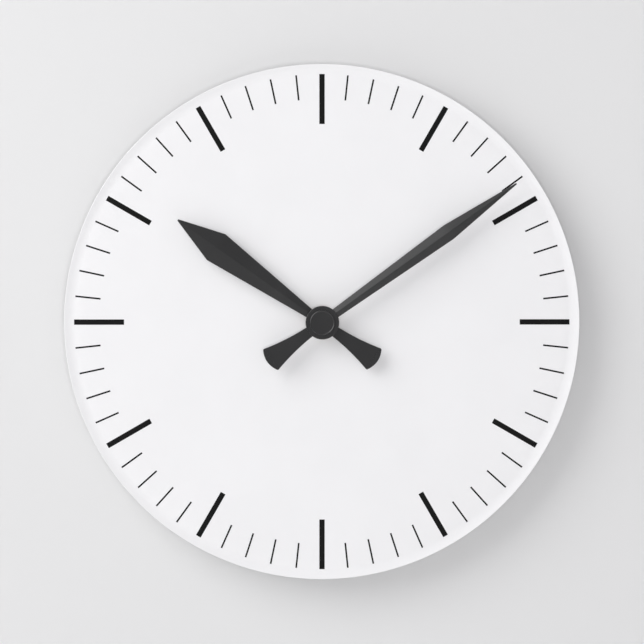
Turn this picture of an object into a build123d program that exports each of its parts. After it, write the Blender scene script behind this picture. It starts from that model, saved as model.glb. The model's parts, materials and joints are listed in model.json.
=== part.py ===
"""Frameless quartz wall clock: a round white acrylic dial carried on a 56 mm square battery movement.

Frame: +Z is up, the viewer stands at -Y, and the wall is the plane y = 0. The hand axis is the Y axis.
Depths below are measured from the wall towards the viewer, so depth d lies at y = -d.
Angles of hands, marks and gear teeth are clockwise from 12 o'clock, as the viewer sees them.
Lengths are in millimetres.
"""

from build123d import *
import math
import os

os.makedirs("parts", exist_ok=True)

# ---------------------------------------------------------------- driving dimensions
DIAL_RADIUS = 136.5
DIAL_REAR, DIAL_FRONT = 17.0, 21.0
MARK_OUTER_RADIUS = 131.2
HOUR_MARK_LENGTH, HOUR_MARK_WIDTH = 26.4, 2.8
MINUTE_MARK_LENGTH, MINUTE_MARK_WIDTH = 13.3, 0.87
INK_THICKNESS = 0.1

HOUR_HAND_ANGLE = 305.4
MINUTE_HAND_ANGLE = 54.4

CASE_SIDE, CASE_CORNER = 56.0, 4.0
CASE_WALL = 1.2
CASE_FRONT = 16.0
HALF_CASE = CASE_SIDE / 2
HALF_INSIDE = HALF_CASE - CASE_WALL
FRONT_WALL_REAR = CASE_FRONT - CASE_WALL

# ---------------------------------------------------------------- dial rim, as radius and depth
RIM_SHOULDER_RADIUS = 125.0
RIM_DIP_RADIUS, RIM_DIP_DEPTH = 130.2, 20.8
RIM_RISE_RADIUS, RIM_RISE_DEPTH = 134.6, 21.255
RIM_CREST_RADIUS = 136.1
RIM_EDGE_ROUNDING = 0.5
SHAFT_HOLE_RADIUS = 4.1

# ---------------------------------------------------------------- concentric shafts on the hand axis
THREAD_RADIUS, THREAD_PITCH, THREAD_GROOVE = 4.0, 0.75, 0.3
BUSH_BORE = 2.6
BUSH_FLANGE_RADIUS = 6.5
BUSH_FRONT = 26.5
HOUR_TUBE_RADIUS, HOUR_TUBE_BORE, HOUR_TUBE_FRONT = 2.55, 1.85, 30.2
MINUTE_TUBE_RADIUS, MINUTE_TUBE_BORE = 1.8, 0.45
MINUTE_TUBE_REAR, MINUTE_TUBE_FRONT = 10.3, 33.0
ARBOR_RADIUS = 0.4
PIVOT_RADIUS, PIVOT_HOLE = 0.3, 0.35
PIVOT_SEAT, END_PLAY = 0.6, 0.15

# ---------------------------------------------------------------- train bridge and the levels of the wheels
BRIDGE_REAR, BRIDGE_FRONT = 3.4, 4.4
HOUR_WHEEL_LEVEL = (13.4, 14.4)
MOTION_PINION_LEVEL = (13.25, 14.5)
MOTION_WHEEL_LEVEL = (12.2, 13.0)
CANNON_PINION_LEVEL = (12.0, 13.2)
CENTRE_WHEEL_LEVEL = (10.6, 11.2)
THIRD_PINION_LEVEL = (10.2, 11.5)
THIRD_WHEEL_LEVEL = (8.9, 9.5)
SECONDS_PINION_LEVEL = (8.6, 9.8)
SECONDS_WHEEL_LEVEL = (6.8, 7.4)
INTERMEDIATE_PINION_LEVEL = (6.5, 7.7)
INTERMEDIATE_WHEEL_LEVEL = (5.2, 5.8)
ROTOR_PINION_LEVEL = (4.9, 6.1)
ROTOR_MAGNET_LEVEL = (6.9, 8.9)
STATOR_LEVEL = (7.6, 8.4)

# ---------------------------------------------------------------- gear train: teeth and modules
ROTOR_LEAVES, INTERMEDIATE_TEETH, ROTOR_MODULE = 10, 50, 0.22
INTERMEDIATE_LEAVES, SECONDS_TEETH, SECONDS_MODULE = 10, 60, 0.28
SECONDS_LEAVES, THIRD_TEETH, THIRD_MODULE = 8, 64, 0.26
THIRD_LEAVES, CENTRE_TEETH = 8, 60
CANNON_LEAVES, MOTION_TEETH, MOTION_MODULE = 12, 36, 0.4
MOTION_LEAVES, HOUR_TEETH = 10, 40
SETTING_LEAVES = 12


def centre_distance(teeth_a, teeth_b, module):
    """Distance between two arbors whose gears mesh."""
    return (teeth_a + teeth_b) * module / 2


THIRD_DISTANCE = centre_distance(SECONDS_LEAVES, THIRD_TEETH, THIRD_MODULE)
CENTRE_MODULE = 2 * THIRD_DISTANCE / (THIRD_LEAVES + CENTRE_TEETH)
MOTION_DISTANCE = centre_distance(CANNON_LEAVES, MOTION_TEETH, MOTION_MODULE)
HOUR_MODULE = 2 * MOTION_DISTANCE / (MOTION_LEAVES + HOUR_TEETH)


def step(start, distance, angle):
    """The point at a distance from start, in a direction given as a clock angle."""
    turn = math.radians(angle)
    return start[0] + distance * math.sin(turn), start[1] + distance * math.cos(turn)


def bearing(start, end):
    """Clock angle of the direction from start to end."""
    return math.degrees(math.atan2(end[0] - start[0], end[1] - start[1]))


HAND_AXIS = (0.0, 0.0)
THIRD_AXIS = step(HAND_AXIS, THIRD_DISTANCE, 270)
MOTION_AXIS = step(HAND_AXIS, MOTION_DISTANCE, 90)
SETTING_AXIS = step(MOTION_AXIS, centre_distance(SETTING_LEAVES, MOTION_TEETH, MOTION_MODULE), 55)
INTERMEDIATE_AXIS = step(
    HAND_AXIS, centre_distance(INTERMEDIATE_LEAVES, SECONDS_TEETH, SECONDS_MODULE), 348
)
ROTOR_AXIS = step(
    INTERMEDIATE_AXIS, centre_distance(ROTOR_LEAVES, INTERMEDIATE_TEETH, ROTOR_MODULE), 70
)

# ---------------------------------------------------------------- battery bay
BAY_CEILING, BAY_CEILING_WALL = -10.8, 1.0
BAY_TOP = BAY_CEILING - BAY_CEILING_WALL
BATTERY_RADIUS, BATTERY_SLEEVE = 7.25, 0.2
BATTERY_NUB_RADIUS, BATTERY_NUB = 2.75, 1.4
BATTERY_LEFT, BATTERY_RIGHT = -25.8, 24.7
BATTERY_DEPTH = FRONT_WALL_REAR - BATTERY_RADIUS - 0.1
BATTERY_HEIGHT = -HALF_INSIDE + BATTERY_RADIUS + 0.15
CONTACT_THICKNESS = 0.3

# ---------------------------------------------------------------- bridge pillars and screws
PILLAR_X, PILLAR_TOP_Z, PILLAR_BOTTOM_Z = 21.8, 15.0, -7.2
PILLAR_RADIUS = 2.0
PILLARS = [(x, z) for x in (-PILLAR_X, PILLAR_X) for z in (PILLAR_BOTTOM_Z, PILLAR_TOP_Z)]
SCREW_RADIUS, SCREW_HEAD_RADIUS, SCREW_HEAD = 0.8, 1.6, 0.8

# ---------------------------------------------------------------- hanger
HANGER_REAR, HANGER_FRONT = 0.4, 1.4
HANGER_HALF_WIDTH = 9.0
HANGER_BOTTOM, HANGER_END_CENTRE = 17.0, 36.5
KEYHOLE_ENTRY_Z, KEYHOLE_ENTRY_RADIUS = 32.5, 4.25
KEYHOLE_SEAT_Z, KEYHOLE_SLOT_RADIUS = 39.0, 2.4
HANGER_POCKET_GAP, HANGER_POCKET_WALL = 0.1, 1.1
RIVETS = [(-5.6, 21.4), (5.6, 21.4)]
RIVET_RADIUS, RIVET_HEAD_RADIUS, RIVET_TAIL = 0.9, 1.8, 0.5

# ---------------------------------------------------------------- setting knob
KNOB_RADIUS, KNOB_REAR, KNOB_FRONT = 6.0, 0.4, 2.3
KNOB_WELL_RADIUS, KNOB_WELL_FLOOR = 6.8, 2.5
KNOB_RIDGES = 24
SETTING_ARBOR_RADIUS = 1.0
RUNNING_CLEARANCE, SEAT_GAP = 0.05, 0.04

# ---------------------------------------------------------------- stepping motor and circuit
COIL_DEPTH, COIL_Z = 8.9, 21.0
BOBBIN_LEFT, BOBBIN_RIGHT, BOBBIN_FLANGE, BOBBIN_HALF = -3.6, 12.0, 0.8, 4.0
BOBBIN_BARREL, WINDING_RADIUS = 2.2, 3.5
CORE_LEFT, CORE_RIGHT, CORE_HALF = -7.5, 16.0, 1.5
CORE_LEVEL = (8.4, 9.4)
CORE_POSTS = [(CORE_LEFT + 1.75, COIL_Z), (CORE_RIGHT - 1.75, COIL_Z)]
ROTOR_MAGNET_RADIUS, STATOR_HOLE, STATOR_RING = 2.3, 2.9, 4.3
BOARD_HALF_LENGTH, BOARD_BOTTOM, BOARD_TOP = 25.7, 17.3, 25.4
BOARD_LEVEL = (4.1, 4.9)
BOARD_POSTS = [(-22.2, 21.4), (22.2, 21.4)]


# ---------------------------------------------------------------- shape helpers
def slab(sketch, rear, front):
    """A sketch drawn as the viewer sees it, made solid between two depths."""
    return extrude(Plane.XZ.offset(rear) * sketch, amount=front - rear)


def disc(radius, rear, front, axis=HAND_AXIS, bore=0.0):
    """A round slab on an axis, with an optional bore."""
    sketch = Circle(radius)
    if bore:
        sketch -= Circle(bore)
    return slab(Pos(*axis) * sketch, rear, front)


def block(left, right, bottom, top, rear, front):
    """A box given by its sides as the viewer sees them, and two depths."""
    sketch = Pos((left + right) / 2, (bottom + top) / 2) * Rectangle(right - left, top - bottom)
    return slab(sketch, rear, front)


def turned(profile_edges):
    """A solid of revolution about the hand axis. The edges are drawn with radius as x and depth as -y."""
    return revolve(make_face(profile_edges), Axis.Y, 360)


def ring_points(points):
    """Radius and depth pairs as points of a profile for turned()."""
    return [(radius, -depth) for radius, depth in points]


def lathe(points):
    """A turned solid with straight sides through radius and depth pairs."""
    return turned(Polyline(*ring_points(points), close=True))


def turned_to(part, angle):
    """A part turned clockwise about the hand axis, as the viewer sees it."""
    return Rot(Y=angle) * part


def moved_to(part, axis):
    """A part made on the hand axis, moved to another arbor."""
    return Pos(axis[0], 0, axis[1]) * part


def save(name, *solids):
    """Writes one sub-part, made of one or more separate solids."""
    shape = solids[0] if len(solids) == 1 else Compound(children=list(solids))
    export_step(shape, f"parts/{name}.step")


# ---------------------------------------------------------------- gears
WHEEL_SHARE, PINION_SHARE = 0.46, 0.36
WHEEL_ADDENDUM, WHEEL_DEDENDUM = 1.05, 1.25
PINION_ADDENDUM, PINION_DEDENDUM = 0.75, 1.4
TIP_SHARE, SHOULDER_SHARE, SHOULDER_HEIGHT = 0.3, 0.74, 0.6


def gear_outline(teeth, module, phase, pinion=False):
    """Clock-gear teeth: radial flanks below the pitch circle and an ogive of two chords a side above it."""
    share = PINION_SHARE if pinion else WHEEL_SHARE
    addendum = (PINION_ADDENDUM if pinion else WHEEL_ADDENDUM) * module
    dedendum = (PINION_DEDENDUM if pinion else WHEEL_DEDENDUM) * module
    pitch_radius = teeth * module / 2
    half = 360 / teeth * share / 2
    side = [
        (pitch_radius - dedendum, 1.0),
        (pitch_radius, 1.0),
        (pitch_radius + addendum * SHOULDER_HEIGHT, SHOULDER_SHARE),
        (pitch_radius + addendum, TIP_SHARE),
    ]
    tooth = [(r, -w) for r, w in side] + [(r, w) for r, w in reversed(side)]
    points = [
        step(HAND_AXIS, r, phase + 360 / teeth * n + w * half) for n in range(teeth) for r, w in tooth
    ]
    return make_face(Polyline(*points, close=True))


def meshed_phase(teeth_a, phase_a, axis_a, teeth_b, axis_b):
    """The phase that puts a gap of gear b where gear a has a tooth on the line between their axes."""
    direction = bearing(axis_a, axis_b)
    turns_a = (direction - phase_a) * teeth_a / 360
    return direction + 180 - 360 / teeth_b * (0.5 - turns_a)


def gear(teeth, module, phase, level, pinion=False, bore=0.0, windows=0, window_radius=0.0, window_at=0.0):
    """A gear on the hand axis, with a round bore and optional round windows in its web."""
    sketch = gear_outline(teeth, module, phase, pinion)
    if bore:
        sketch -= Circle(bore)
    for n in range(windows):
        sketch -= Pos(*step(HAND_AXIS, window_at, 360 / windows * n)) * Circle(window_radius)
    return slab(sketch, *level)


CANNON_PHASE = 0.0
MOTION_PHASE = meshed_phase(CANNON_LEAVES, CANNON_PHASE, HAND_AXIS, MOTION_TEETH, MOTION_AXIS)
HOUR_PHASE = meshed_phase(MOTION_LEAVES, MOTION_PHASE, MOTION_AXIS, HOUR_TEETH, HAND_AXIS)
SETTING_PHASE = meshed_phase(MOTION_TEETH, MOTION_PHASE, MOTION_AXIS, SETTING_LEAVES, SETTING_AXIS)
CENTRE_PHASE = 0.0
THIRD_PHASE = meshed_phase(CENTRE_TEETH, CENTRE_PHASE, HAND_AXIS, THIRD_LEAVES, THIRD_AXIS)
SECONDS_PHASE = meshed_phase(THIRD_TEETH, THIRD_PHASE, THIRD_AXIS, SECONDS_LEAVES, HAND_AXIS)
INTERMEDIATE_PHASE = meshed_phase(
    SECONDS_TEETH, SECONDS_PHASE, HAND_AXIS, INTERMEDIATE_LEAVES, INTERMEDIATE_AXIS
)
ROTOR_PHASE = meshed_phase(
    INTERMEDIATE_TEETH, INTERMEDIATE_PHASE, INTERMEDIATE_AXIS, ROTOR_LEAVES, ROTOR_AXIS
)


# ---------------------------------------------------------------- dial
def face_line(inner_radius, lift):
    """The dial's front, lifted by a little: flat, then a shoulder that falls into the rim's valley."""
    start, shoulder, dip, rise = ring_points([
        (inner_radius, DIAL_FRONT + lift),
        (RIM_SHOULDER_RADIUS, DIAL_FRONT + lift),
        (RIM_DIP_RADIUS, RIM_DIP_DEPTH + lift),
        (RIM_RISE_RADIUS, RIM_RISE_DEPTH + lift),
    ])
    fall = TangentArc(shoulder, dip, tangent=(1, 0))
    return [Line(start, shoulder), fall, TangentArc(dip, rise, tangent=fall % 1)]


def dial_plate():
    """White acrylic plate: flat face, a shallow valley and a raised lip with a rounded edge."""
    face = face_line(SHAFT_HOLE_RADIUS, 0)
    rise, uphill = face[-1] @ 1, face[-1] % 1
    slope = math.atan2(-uphill.Y, uphill.X)
    crest = rise + uphill * ((RIM_CREST_RADIUS - RIM_RISE_RADIUS) / uphill.X)
    lip_radius = (DIAL_RADIUS - RIM_CREST_RADIUS) / (1 + math.sin(slope))
    edge_front = (DIAL_RADIUS, crest.Y + lip_radius * math.cos(slope))
    edge_rear = (DIAL_RADIUS, -(DIAL_REAR + RIM_EDGE_ROUNDING))
    rear_outer = (DIAL_RADIUS - RIM_EDGE_ROUNDING, -DIAL_REAR)
    rear_inner = (SHAFT_HOLE_RADIUS, -DIAL_REAR)
    profile = face + [
        Line(rise, crest),
        TangentArc(crest, edge_front, tangent=uphill),
        Line(edge_front, edge_rear),
        Line(edge_rear, rear_outer),
        Line(rear_outer, rear_inner),
        Line(rear_inner, (SHAFT_HOLE_RADIUS, -DIAL_FRONT)),
    ]
    return turned(profile)


def ink_layer(inner_radius):
    """A thin ring that follows the dial's front surface, from which the printed marks are cut."""
    low, high = face_line(inner_radius, 0), face_line(inner_radius, INK_THICKNESS)
    ends = [Line(low[-1] @ 1, high[-1] @ 1), Line(low[0] @ 0, high[0] @ 0)]
    return turned(low + high + ends)


def marks(angles, length, width):
    """Printed bars that end on one circle."""
    inner = MARK_OUTER_RADIUS - length
    ink = ink_layer(inner - 2)
    bar = block(-width / 2, width / 2, inner, MARK_OUTER_RADIUS, DIAL_FRONT - 1, DIAL_FRONT + 1)
    return [(ink & turned_to(bar, angle)).solids()[0] for angle in angles]


# ---------------------------------------------------------------- hands
BLADE_EDGE = 0.6
TAIL_THICKNESS = 1.0
TAIL_ROOT, TAIL_ROOT_HALF_WIDTH = 6.0, 2.75
TAIL_WAIST, TAIL_WAIST_HALF_WIDTH = 20.5, 3.95
TAIL_CORNER, TAIL_CORNER_HALF_WIDTH = 33.6, 6.8
TAIL_END = 35.7
TAIL_CORNER_ROUNDING = 0.7
TAIL_BEVEL = 0.2


def blade(base, root, shoulder, tip, slope, rounding):
    """A faceted blade that points to 12 o'clock: a flat underside, four facets and a central ridge.

    root, shoulder and tip are (distance along the blade, half width).
    """
    stations = [root, shoulder, tip]
    outline = [(-w, r) for r, w in stations] + [(w, r) for r, w in reversed(stations)]
    sketch = make_face(Polyline(*outline, close=True))
    wide = [v for v in sketch.vertices() if abs(v.Y - shoulder[0]) < 1e-6]
    sketch = fillet(wide, rounding)
    ridge = BLADE_EDGE + shoulder[1] * slope
    solid = slab(sketch, base, base + ridge)
    for near, far in ((root, shoulder), (shoulder, tip)):
        taper = (far[1] - near[1]) / (far[0] - near[0])
        for side in (-1, 1):
            facet = Plane(
                origin=(side * near[1], -(base + BLADE_EDGE), near[0]),
                z_dir=(side * slope, -1, -slope * taper),
            )
            solid = split(solid, bisect_by=facet, keep=Keep.BOTTOM)
    return solid


def tail(base):
    """The counterweight: a flat bar that flares to a rounded end, pointing to 6 o'clock."""
    sides = [
        ThreePointArc(
            (side * TAIL_ROOT_HALF_WIDTH, -TAIL_ROOT),
            (side * TAIL_WAIST_HALF_WIDTH, -TAIL_WAIST),
            (side * TAIL_CORNER_HALF_WIDTH, -TAIL_CORNER),
        )
        for side in (-1, 1)
    ]
    end = ThreePointArc(
        (-TAIL_CORNER_HALF_WIDTH, -TAIL_CORNER), (0, -TAIL_END), (TAIL_CORNER_HALF_WIDTH, -TAIL_CORNER)
    )
    root = Line((-TAIL_ROOT_HALF_WIDTH, -TAIL_ROOT), (TAIL_ROOT_HALF_WIDTH, -TAIL_ROOT))
    sketch = make_face([*sides, end, root])
    corners = [v for v in sketch.vertices() if abs(v.Y + TAIL_CORNER) < 1e-6]
    solid = slab(fillet(corners, TAIL_CORNER_ROUNDING), base, base + TAIL_THICKNESS)
    front = solid.faces().sort_by(Axis.Y)[0]
    return chamfer(front.edges(), TAIL_BEVEL)


HOUR_BLADE_ROOT, HOUR_BLADE_SHOULDER, HOUR_BLADE_TIP = (6.0, 2.35), (68.6, 8.4), (93.5, 0.4)
HOUR_HUB_RADIUS, HOUR_HUB_REAR, HOUR_HUB_FRONT = 7.5, 27.4, 29.8
HOUR_BLADE_BASE, HOUR_BLADE_SLOPE, HOUR_BLADE_ROUNDING = 27.8, 0.1, 1.2
HOUR_COLLET_RADIUS = 4.0
MINUTE_BLADE_ROOT, MINUTE_BLADE_SHOULDER, MINUTE_BLADE_TIP = (7.0, 2.5), (82.0, 4.45), (125.9, 0.38)
MINUTE_HUB_RADIUS, MINUTE_HUB_REAR, MINUTE_HUB_FRONT = 8.85, 31.2, 33.5
MINUTE_BLADE_BASE, MINUTE_BLADE_SLOPE, MINUTE_BLADE_ROUNDING = 31.6, 0.28, 24.0
MINUTE_COLLET_RADIUS = 3.2
CAP_RADIUS, CAP_FRONT, CAP_ROUNDING = 6.6, 34.6, 0.35
HUB_ROUNDING = 0.3


def hub(radius, rear, front):
    """A round boss with a softened front edge."""
    solid = disc(radius, rear, front)
    front_face = solid.faces().sort_by(Axis.Y)[0]
    return fillet(front_face.edges(), HUB_ROUNDING)


def hour_hand():
    """Broad faceted blade, flared tail and round boss, bored for its brass collet."""
    base = HOUR_BLADE_BASE
    points = (HOUR_BLADE_ROOT, HOUR_BLADE_SHOULDER, HOUR_BLADE_TIP)
    solid = blade(base, *points, HOUR_BLADE_SLOPE, HOUR_BLADE_ROUNDING) + tail(base)
    solid += hub(HOUR_HUB_RADIUS, HOUR_HUB_REAR, HOUR_HUB_FRONT)
    solid -= disc(HOUR_COLLET_RADIUS, HOUR_HUB_REAR - 1, HOUR_HUB_FRONT + 1)
    return turned_to(solid, HOUR_HAND_ANGLE)


def minute_hand():
    """Slender faceted blade, flared tail and the large boss that covers the hour hand's boss."""
    base = MINUTE_BLADE_BASE
    points = (MINUTE_BLADE_ROOT, MINUTE_BLADE_SHOULDER, MINUTE_BLADE_TIP)
    solid = blade(base, *points, MINUTE_BLADE_SLOPE, MINUTE_BLADE_ROUNDING) + tail(base)
    solid += hub(MINUTE_HUB_RADIUS, MINUTE_HUB_REAR, MINUTE_HUB_FRONT)
    solid -= disc(MINUTE_COLLET_RADIUS, MINUTE_HUB_REAR - 1, MINUTE_HUB_FRONT + 1)
    return turned_to(solid, MINUTE_HAND_ANGLE)


def hub_cap():
    """Snap-in cap over the minute hand's boss, with a plug that fills the boss's bore."""
    top = disc(CAP_RADIUS, MINUTE_HUB_FRONT, CAP_FRONT)
    top = fillet(top.faces().sort_by(Axis.Y)[0].edges(), CAP_ROUNDING)
    return top + disc(MINUTE_COLLET_RADIUS - SEAT_GAP, MINUTE_TUBE_FRONT + 0.05, MINUTE_HUB_FRONT)


def collet(outer, inner, rear, front):
    """Brass collet with a small flange behind the hand."""
    return lathe(
        [
            (inner, rear - 0.5),
            (outer + 0.8, rear - 0.5),
            (outer + 0.8, rear),
            (outer, rear),
            (outer, front),
            (inner, front),
        ]
    )


# ---------------------------------------------------------------- dial fixing
def centre_bush():
    """Flanged bush, threaded on the outside, that carries the dial and guides the hour tube."""
    outline = [(BUSH_BORE, FRONT_WALL_REAR), (BUSH_FLANGE_RADIUS, FRONT_WALL_REAR)]
    outline += [(BUSH_FLANGE_RADIUS, CASE_FRONT), (THREAD_RADIUS, CASE_FRONT)]
    turns = int((BUSH_FRONT - DIAL_FRONT) / THREAD_PITCH) - 1
    for n in range(turns):
        crest = DIAL_FRONT + 0.2 + n * THREAD_PITCH
        outline += [
            (THREAD_RADIUS, crest),
            (THREAD_RADIUS - THREAD_GROOVE, crest + THREAD_PITCH / 2),
            (THREAD_RADIUS, crest + THREAD_PITCH * 0.95),
        ]
    outline += [(THREAD_RADIUS, BUSH_FRONT - 0.4), (THREAD_RADIUS - 0.4, BUSH_FRONT)]
    outline += [(BUSH_BORE, BUSH_FRONT)]
    return lathe(outline)


NUT_ACROSS_FLATS, NUT_REAR, NUT_FRONT = 11.0, 21.5, 24.0
WASHER_RADIUS = 7.0
GASKET_RADIUS = 14.0


def dial_nut():
    """Hexagon nut with chamfered corners, screwed down on the washer."""
    corner_radius = NUT_ACROSS_FLATS / math.sqrt(3)
    hexagon = slab(RegularPolygon(corner_radius, 6), NUT_REAR, NUT_FRONT)
    relief = 0.6
    rounded = lathe(
        [
            (0, NUT_REAR),
            (corner_radius, NUT_REAR),
            (corner_radius, NUT_FRONT - relief),
            (corner_radius - 2 * relief, NUT_FRONT),
            (0, NUT_FRONT),
        ]
    )
    return (hexagon & rounded) - disc(THREAD_RADIUS, NUT_REAR - 1, NUT_FRONT + 1)


# ---------------------------------------------------------------- movement case
TRAIN_TOP = HALF_INSIDE
COVER_BOTTOM = BAY_CEILING - BAY_CEILING_WALL / 2
CLIP_HALF, CLIP_THICKNESS = 3.0, 0.8
CLIP_Z = 3.0
CLIP_BARB_REAR, CLIP_BARB_FRONT = 4.4, 5.6
THUMB_NOTCH_RADIUS = 7.0
CONTACT_SLOT_INNER, CONTACT_SLOT_OUTER = 25.4, 26.7
CONTACT_SLOT_HEIGHT, CONTACT_SLOT_REACH = 0.9, 3.0
POST_RADIUS, STAKE_RADIUS = 1.1, 0.6
PIVOT_SEATS = {
    THIRD_AXIS: FRONT_WALL_REAR,
    MOTION_AXIS: FRONT_WALL_REAR,
    INTERMEDIATE_AXIS: 8.6,
    ROTOR_AXIS: 9.4,
    SETTING_AXIS: FRONT_WALL_REAR,
}
BRIDGE_WINDOWS = [(-17, -11, 8, 14), (-14, -3, -7.5, -3.5), (3, 14, -7.5, -3.5)]


def case_outline():
    """The square outline of the movement, with rounded corners."""
    return RectangleRounded(CASE_SIDE, CASE_SIDE, CASE_CORNER)


def front_case():
    """Open tray with pillars and pivot posts: the train's chamber above, the battery bay below."""
    train_height = TRAIN_TOP - BAY_CEILING
    train_middle = (TRAIN_TOP + BAY_CEILING) / 2
    inner_corner = CASE_CORNER - CASE_WALL
    chamber = Pos(0, train_middle) * RectangleRounded(2 * HALF_INSIDE, train_height, inner_corner)
    tray = slab(case_outline(), 0, CASE_FRONT)
    tray -= slab(chamber, -1, FRONT_WALL_REAR)
    tray -= block(-HALF_INSIDE, HALF_INSIDE, -HALF_INSIDE, BAY_TOP, -1, FRONT_WALL_REAR)
    tray -= block(-HALF_CASE - 1, HALF_CASE + 1, COVER_BOTTOM, HALF_CASE + 1, -1, CASE_WALL)
    tray -= disc(BUSH_FLANGE_RADIUS + SEAT_GAP, FRONT_WALL_REAR - 1, CASE_FRONT + 1)
    tray -= Pos(0, 0, -HALF_CASE) * Cylinder(THUMB_NOTCH_RADIUS, 2.5 * CASE_WALL)
    pocket_half = HANGER_HALF_WIDTH + HANGER_POCKET_GAP
    tray -= block(-pocket_half, pocket_half, HALF_INSIDE - 1, HALF_CASE + 1, -1, HANGER_FRONT)
    for side in (-1, 1):
        slot = block(
            CONTACT_SLOT_INNER,
            CONTACT_SLOT_OUTER,
            BAY_TOP - 0.5,
            BAY_CEILING + CONTACT_SLOT_REACH,
            FRONT_WALL_REAR - CONTACT_SLOT_HEIGHT,
            FRONT_WALL_REAR,
        )
        window = block(
            HALF_INSIDE - 0.1,
            HALF_CASE + 1,
            CLIP_Z - CLIP_HALF - 0.3,
            CLIP_Z + CLIP_HALF + 0.3,
            CLIP_BARB_REAR - 0.3,
            CLIP_BARB_FRONT + 0.3,
        )
        for opening in (slot, window):
            tray -= opening if side > 0 else mirror(opening, about=Plane.YZ)
    for pillar in PILLARS:
        tray += disc(PILLAR_RADIUS, BRIDGE_FRONT, FRONT_WALL_REAR, pillar)
        tray -= disc(SCREW_RADIUS, BRIDGE_FRONT - 1, BRIDGE_FRONT + 5, pillar)
    for posts, seat, stake_rear in (
        (CORE_POSTS, CORE_LEVEL[1], STATOR_LEVEL[0] - 0.4),
        (BOARD_POSTS, BOARD_LEVEL[1], BOARD_LEVEL[0] - 0.4),
    ):
        for post in posts:
            tray += disc(POST_RADIUS, seat, FRONT_WALL_REAR, post)
            tray += disc(STAKE_RADIUS, stake_rear, seat, post)
    for axis, seat in PIVOT_SEATS.items():
        if seat < FRONT_WALL_REAR:
            tray += disc(POST_RADIUS, seat, FRONT_WALL_REAR, axis)
        tray -= disc(PIVOT_HOLE, seat - 1, seat + PIVOT_SEAT + 0.1, axis)
    return tray


def rear_cover():
    """Snap-on cover of the train's chamber, with the setting knob's well and the hanger's pocket."""
    cover = slab(case_outline(), 0, CASE_WALL)
    cover -= block(-HALF_CASE - 1, HALF_CASE + 1, -HALF_CASE - 1, COVER_BOTTOM, -1, CASE_WALL + 1)
    rim_half, rim_bottom = HALF_INSIDE - 0.1, BAY_CEILING + 0.1
    rim_middle, rim_height = (rim_half + rim_bottom) / 2, rim_half - rim_bottom
    rim = RectangleRounded(2 * rim_half, rim_height, CASE_CORNER - CASE_WALL - 0.1)
    rim -= RectangleRounded(2 * (rim_half - 1), rim_height - 2, CASE_CORNER - CASE_WALL - 1.1)
    cover += slab(Pos(0, rim_middle) * rim, CASE_WALL, CASE_WALL + 1)
    pocket_half, pocket_bottom = HANGER_HALF_WIDTH + HANGER_POCKET_GAP, HANGER_BOTTOM - HANGER_POCKET_GAP
    floor_half, floor_bottom = pocket_half + HANGER_POCKET_WALL, pocket_bottom - HANGER_POCKET_WALL
    cover += block(-floor_half, floor_half, floor_bottom, rim_half, CASE_WALL, HANGER_FRONT + 1)
    cover -= block(-pocket_half, pocket_half, pocket_bottom, HALF_CASE + 1, -1, HANGER_FRONT)
    cover += disc(KNOB_WELL_RADIUS + 0.8, CASE_WALL, KNOB_WELL_FLOOR + 0.8, SETTING_AXIS)
    cover -= disc(KNOB_WELL_RADIUS, -1, KNOB_WELL_FLOOR, SETTING_AXIS)
    cover -= disc(SETTING_ARBOR_RADIUS + RUNNING_CLEARANCE, 0, BRIDGE_REAR, SETTING_AXIS)
    for rivet in RIVETS:
        cover -= disc(RIVET_RADIUS, 0, BRIDGE_REAR, rivet)
    outer = HALF_INSIDE - 0.2
    hook = make_face(
        Polyline(
            (outer - CLIP_THICKNESS, -CASE_WALL),
            (outer, -CASE_WALL),
            (outer, -CLIP_BARB_REAR),
            (outer + CLIP_THICKNESS, -CLIP_BARB_REAR),
            (outer, -CLIP_BARB_FRONT),
            (outer - CLIP_THICKNESS, -CLIP_BARB_FRONT - 0.5),
            close=True,
        )
    )
    clip = Pos(0, 0, CLIP_Z - CLIP_HALF) * extrude(hook, amount=2 * CLIP_HALF)
    return cover + clip + mirror(clip, about=Plane.YZ)


def train_bridge():
    """Plate over the gear train that holds the rear pivots, with windows moulded out between them."""
    half = PILLAR_X + PILLAR_RADIUS
    bottom, top = PILLAR_BOTTOM_Z - PILLAR_RADIUS, PILLAR_TOP_Z + PILLAR_RADIUS
    outline = Pos(0, (top + bottom) / 2) * RectangleRounded(2 * half, top - bottom, PILLAR_RADIUS)
    bridge = slab(outline, BRIDGE_REAR, BRIDGE_FRONT)
    for axis in PIVOT_SEATS:
        bridge -= disc(PIVOT_HOLE, BRIDGE_REAR - 1, BRIDGE_FRONT + 1, axis)
    bridge -= disc(PIVOT_HOLE, BRIDGE_REAR - 1, BRIDGE_FRONT + 1)
    setting_bore = SETTING_ARBOR_RADIUS + RUNNING_CLEARANCE
    bridge -= disc(setting_bore, BRIDGE_REAR - 1, BRIDGE_FRONT + 1, SETTING_AXIS)
    for pillar in PILLARS:
        bridge -= disc(SCREW_RADIUS + 0.1, BRIDGE_REAR - 1, BRIDGE_FRONT + 1, pillar)
    for left, right, low, high in BRIDGE_WINDOWS:
        bridge -= block(left, right, low, high, BRIDGE_REAR - 1, BRIDGE_FRONT + 1)
    return bridge


def screw(axis):
    """Cross-slotted self-tapping screw that holds the bridge on a pillar."""
    head_rear = BRIDGE_REAR - SCREW_HEAD
    head = disc(SCREW_HEAD_RADIUS, head_rear, BRIDGE_REAR)
    head = fillet(head.faces().sort_by(Axis.Y)[-1].edges(), 0.25)
    for half_x, half_z in ((1.1, 0.2), (0.2, 1.1)):
        head -= block(-half_x, half_x, -half_z, half_z, head_rear - 1, head_rear + 0.45)
    return moved_to(head + disc(SCREW_RADIUS, BRIDGE_REAR, BRIDGE_FRONT + 4.6), axis)


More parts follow.
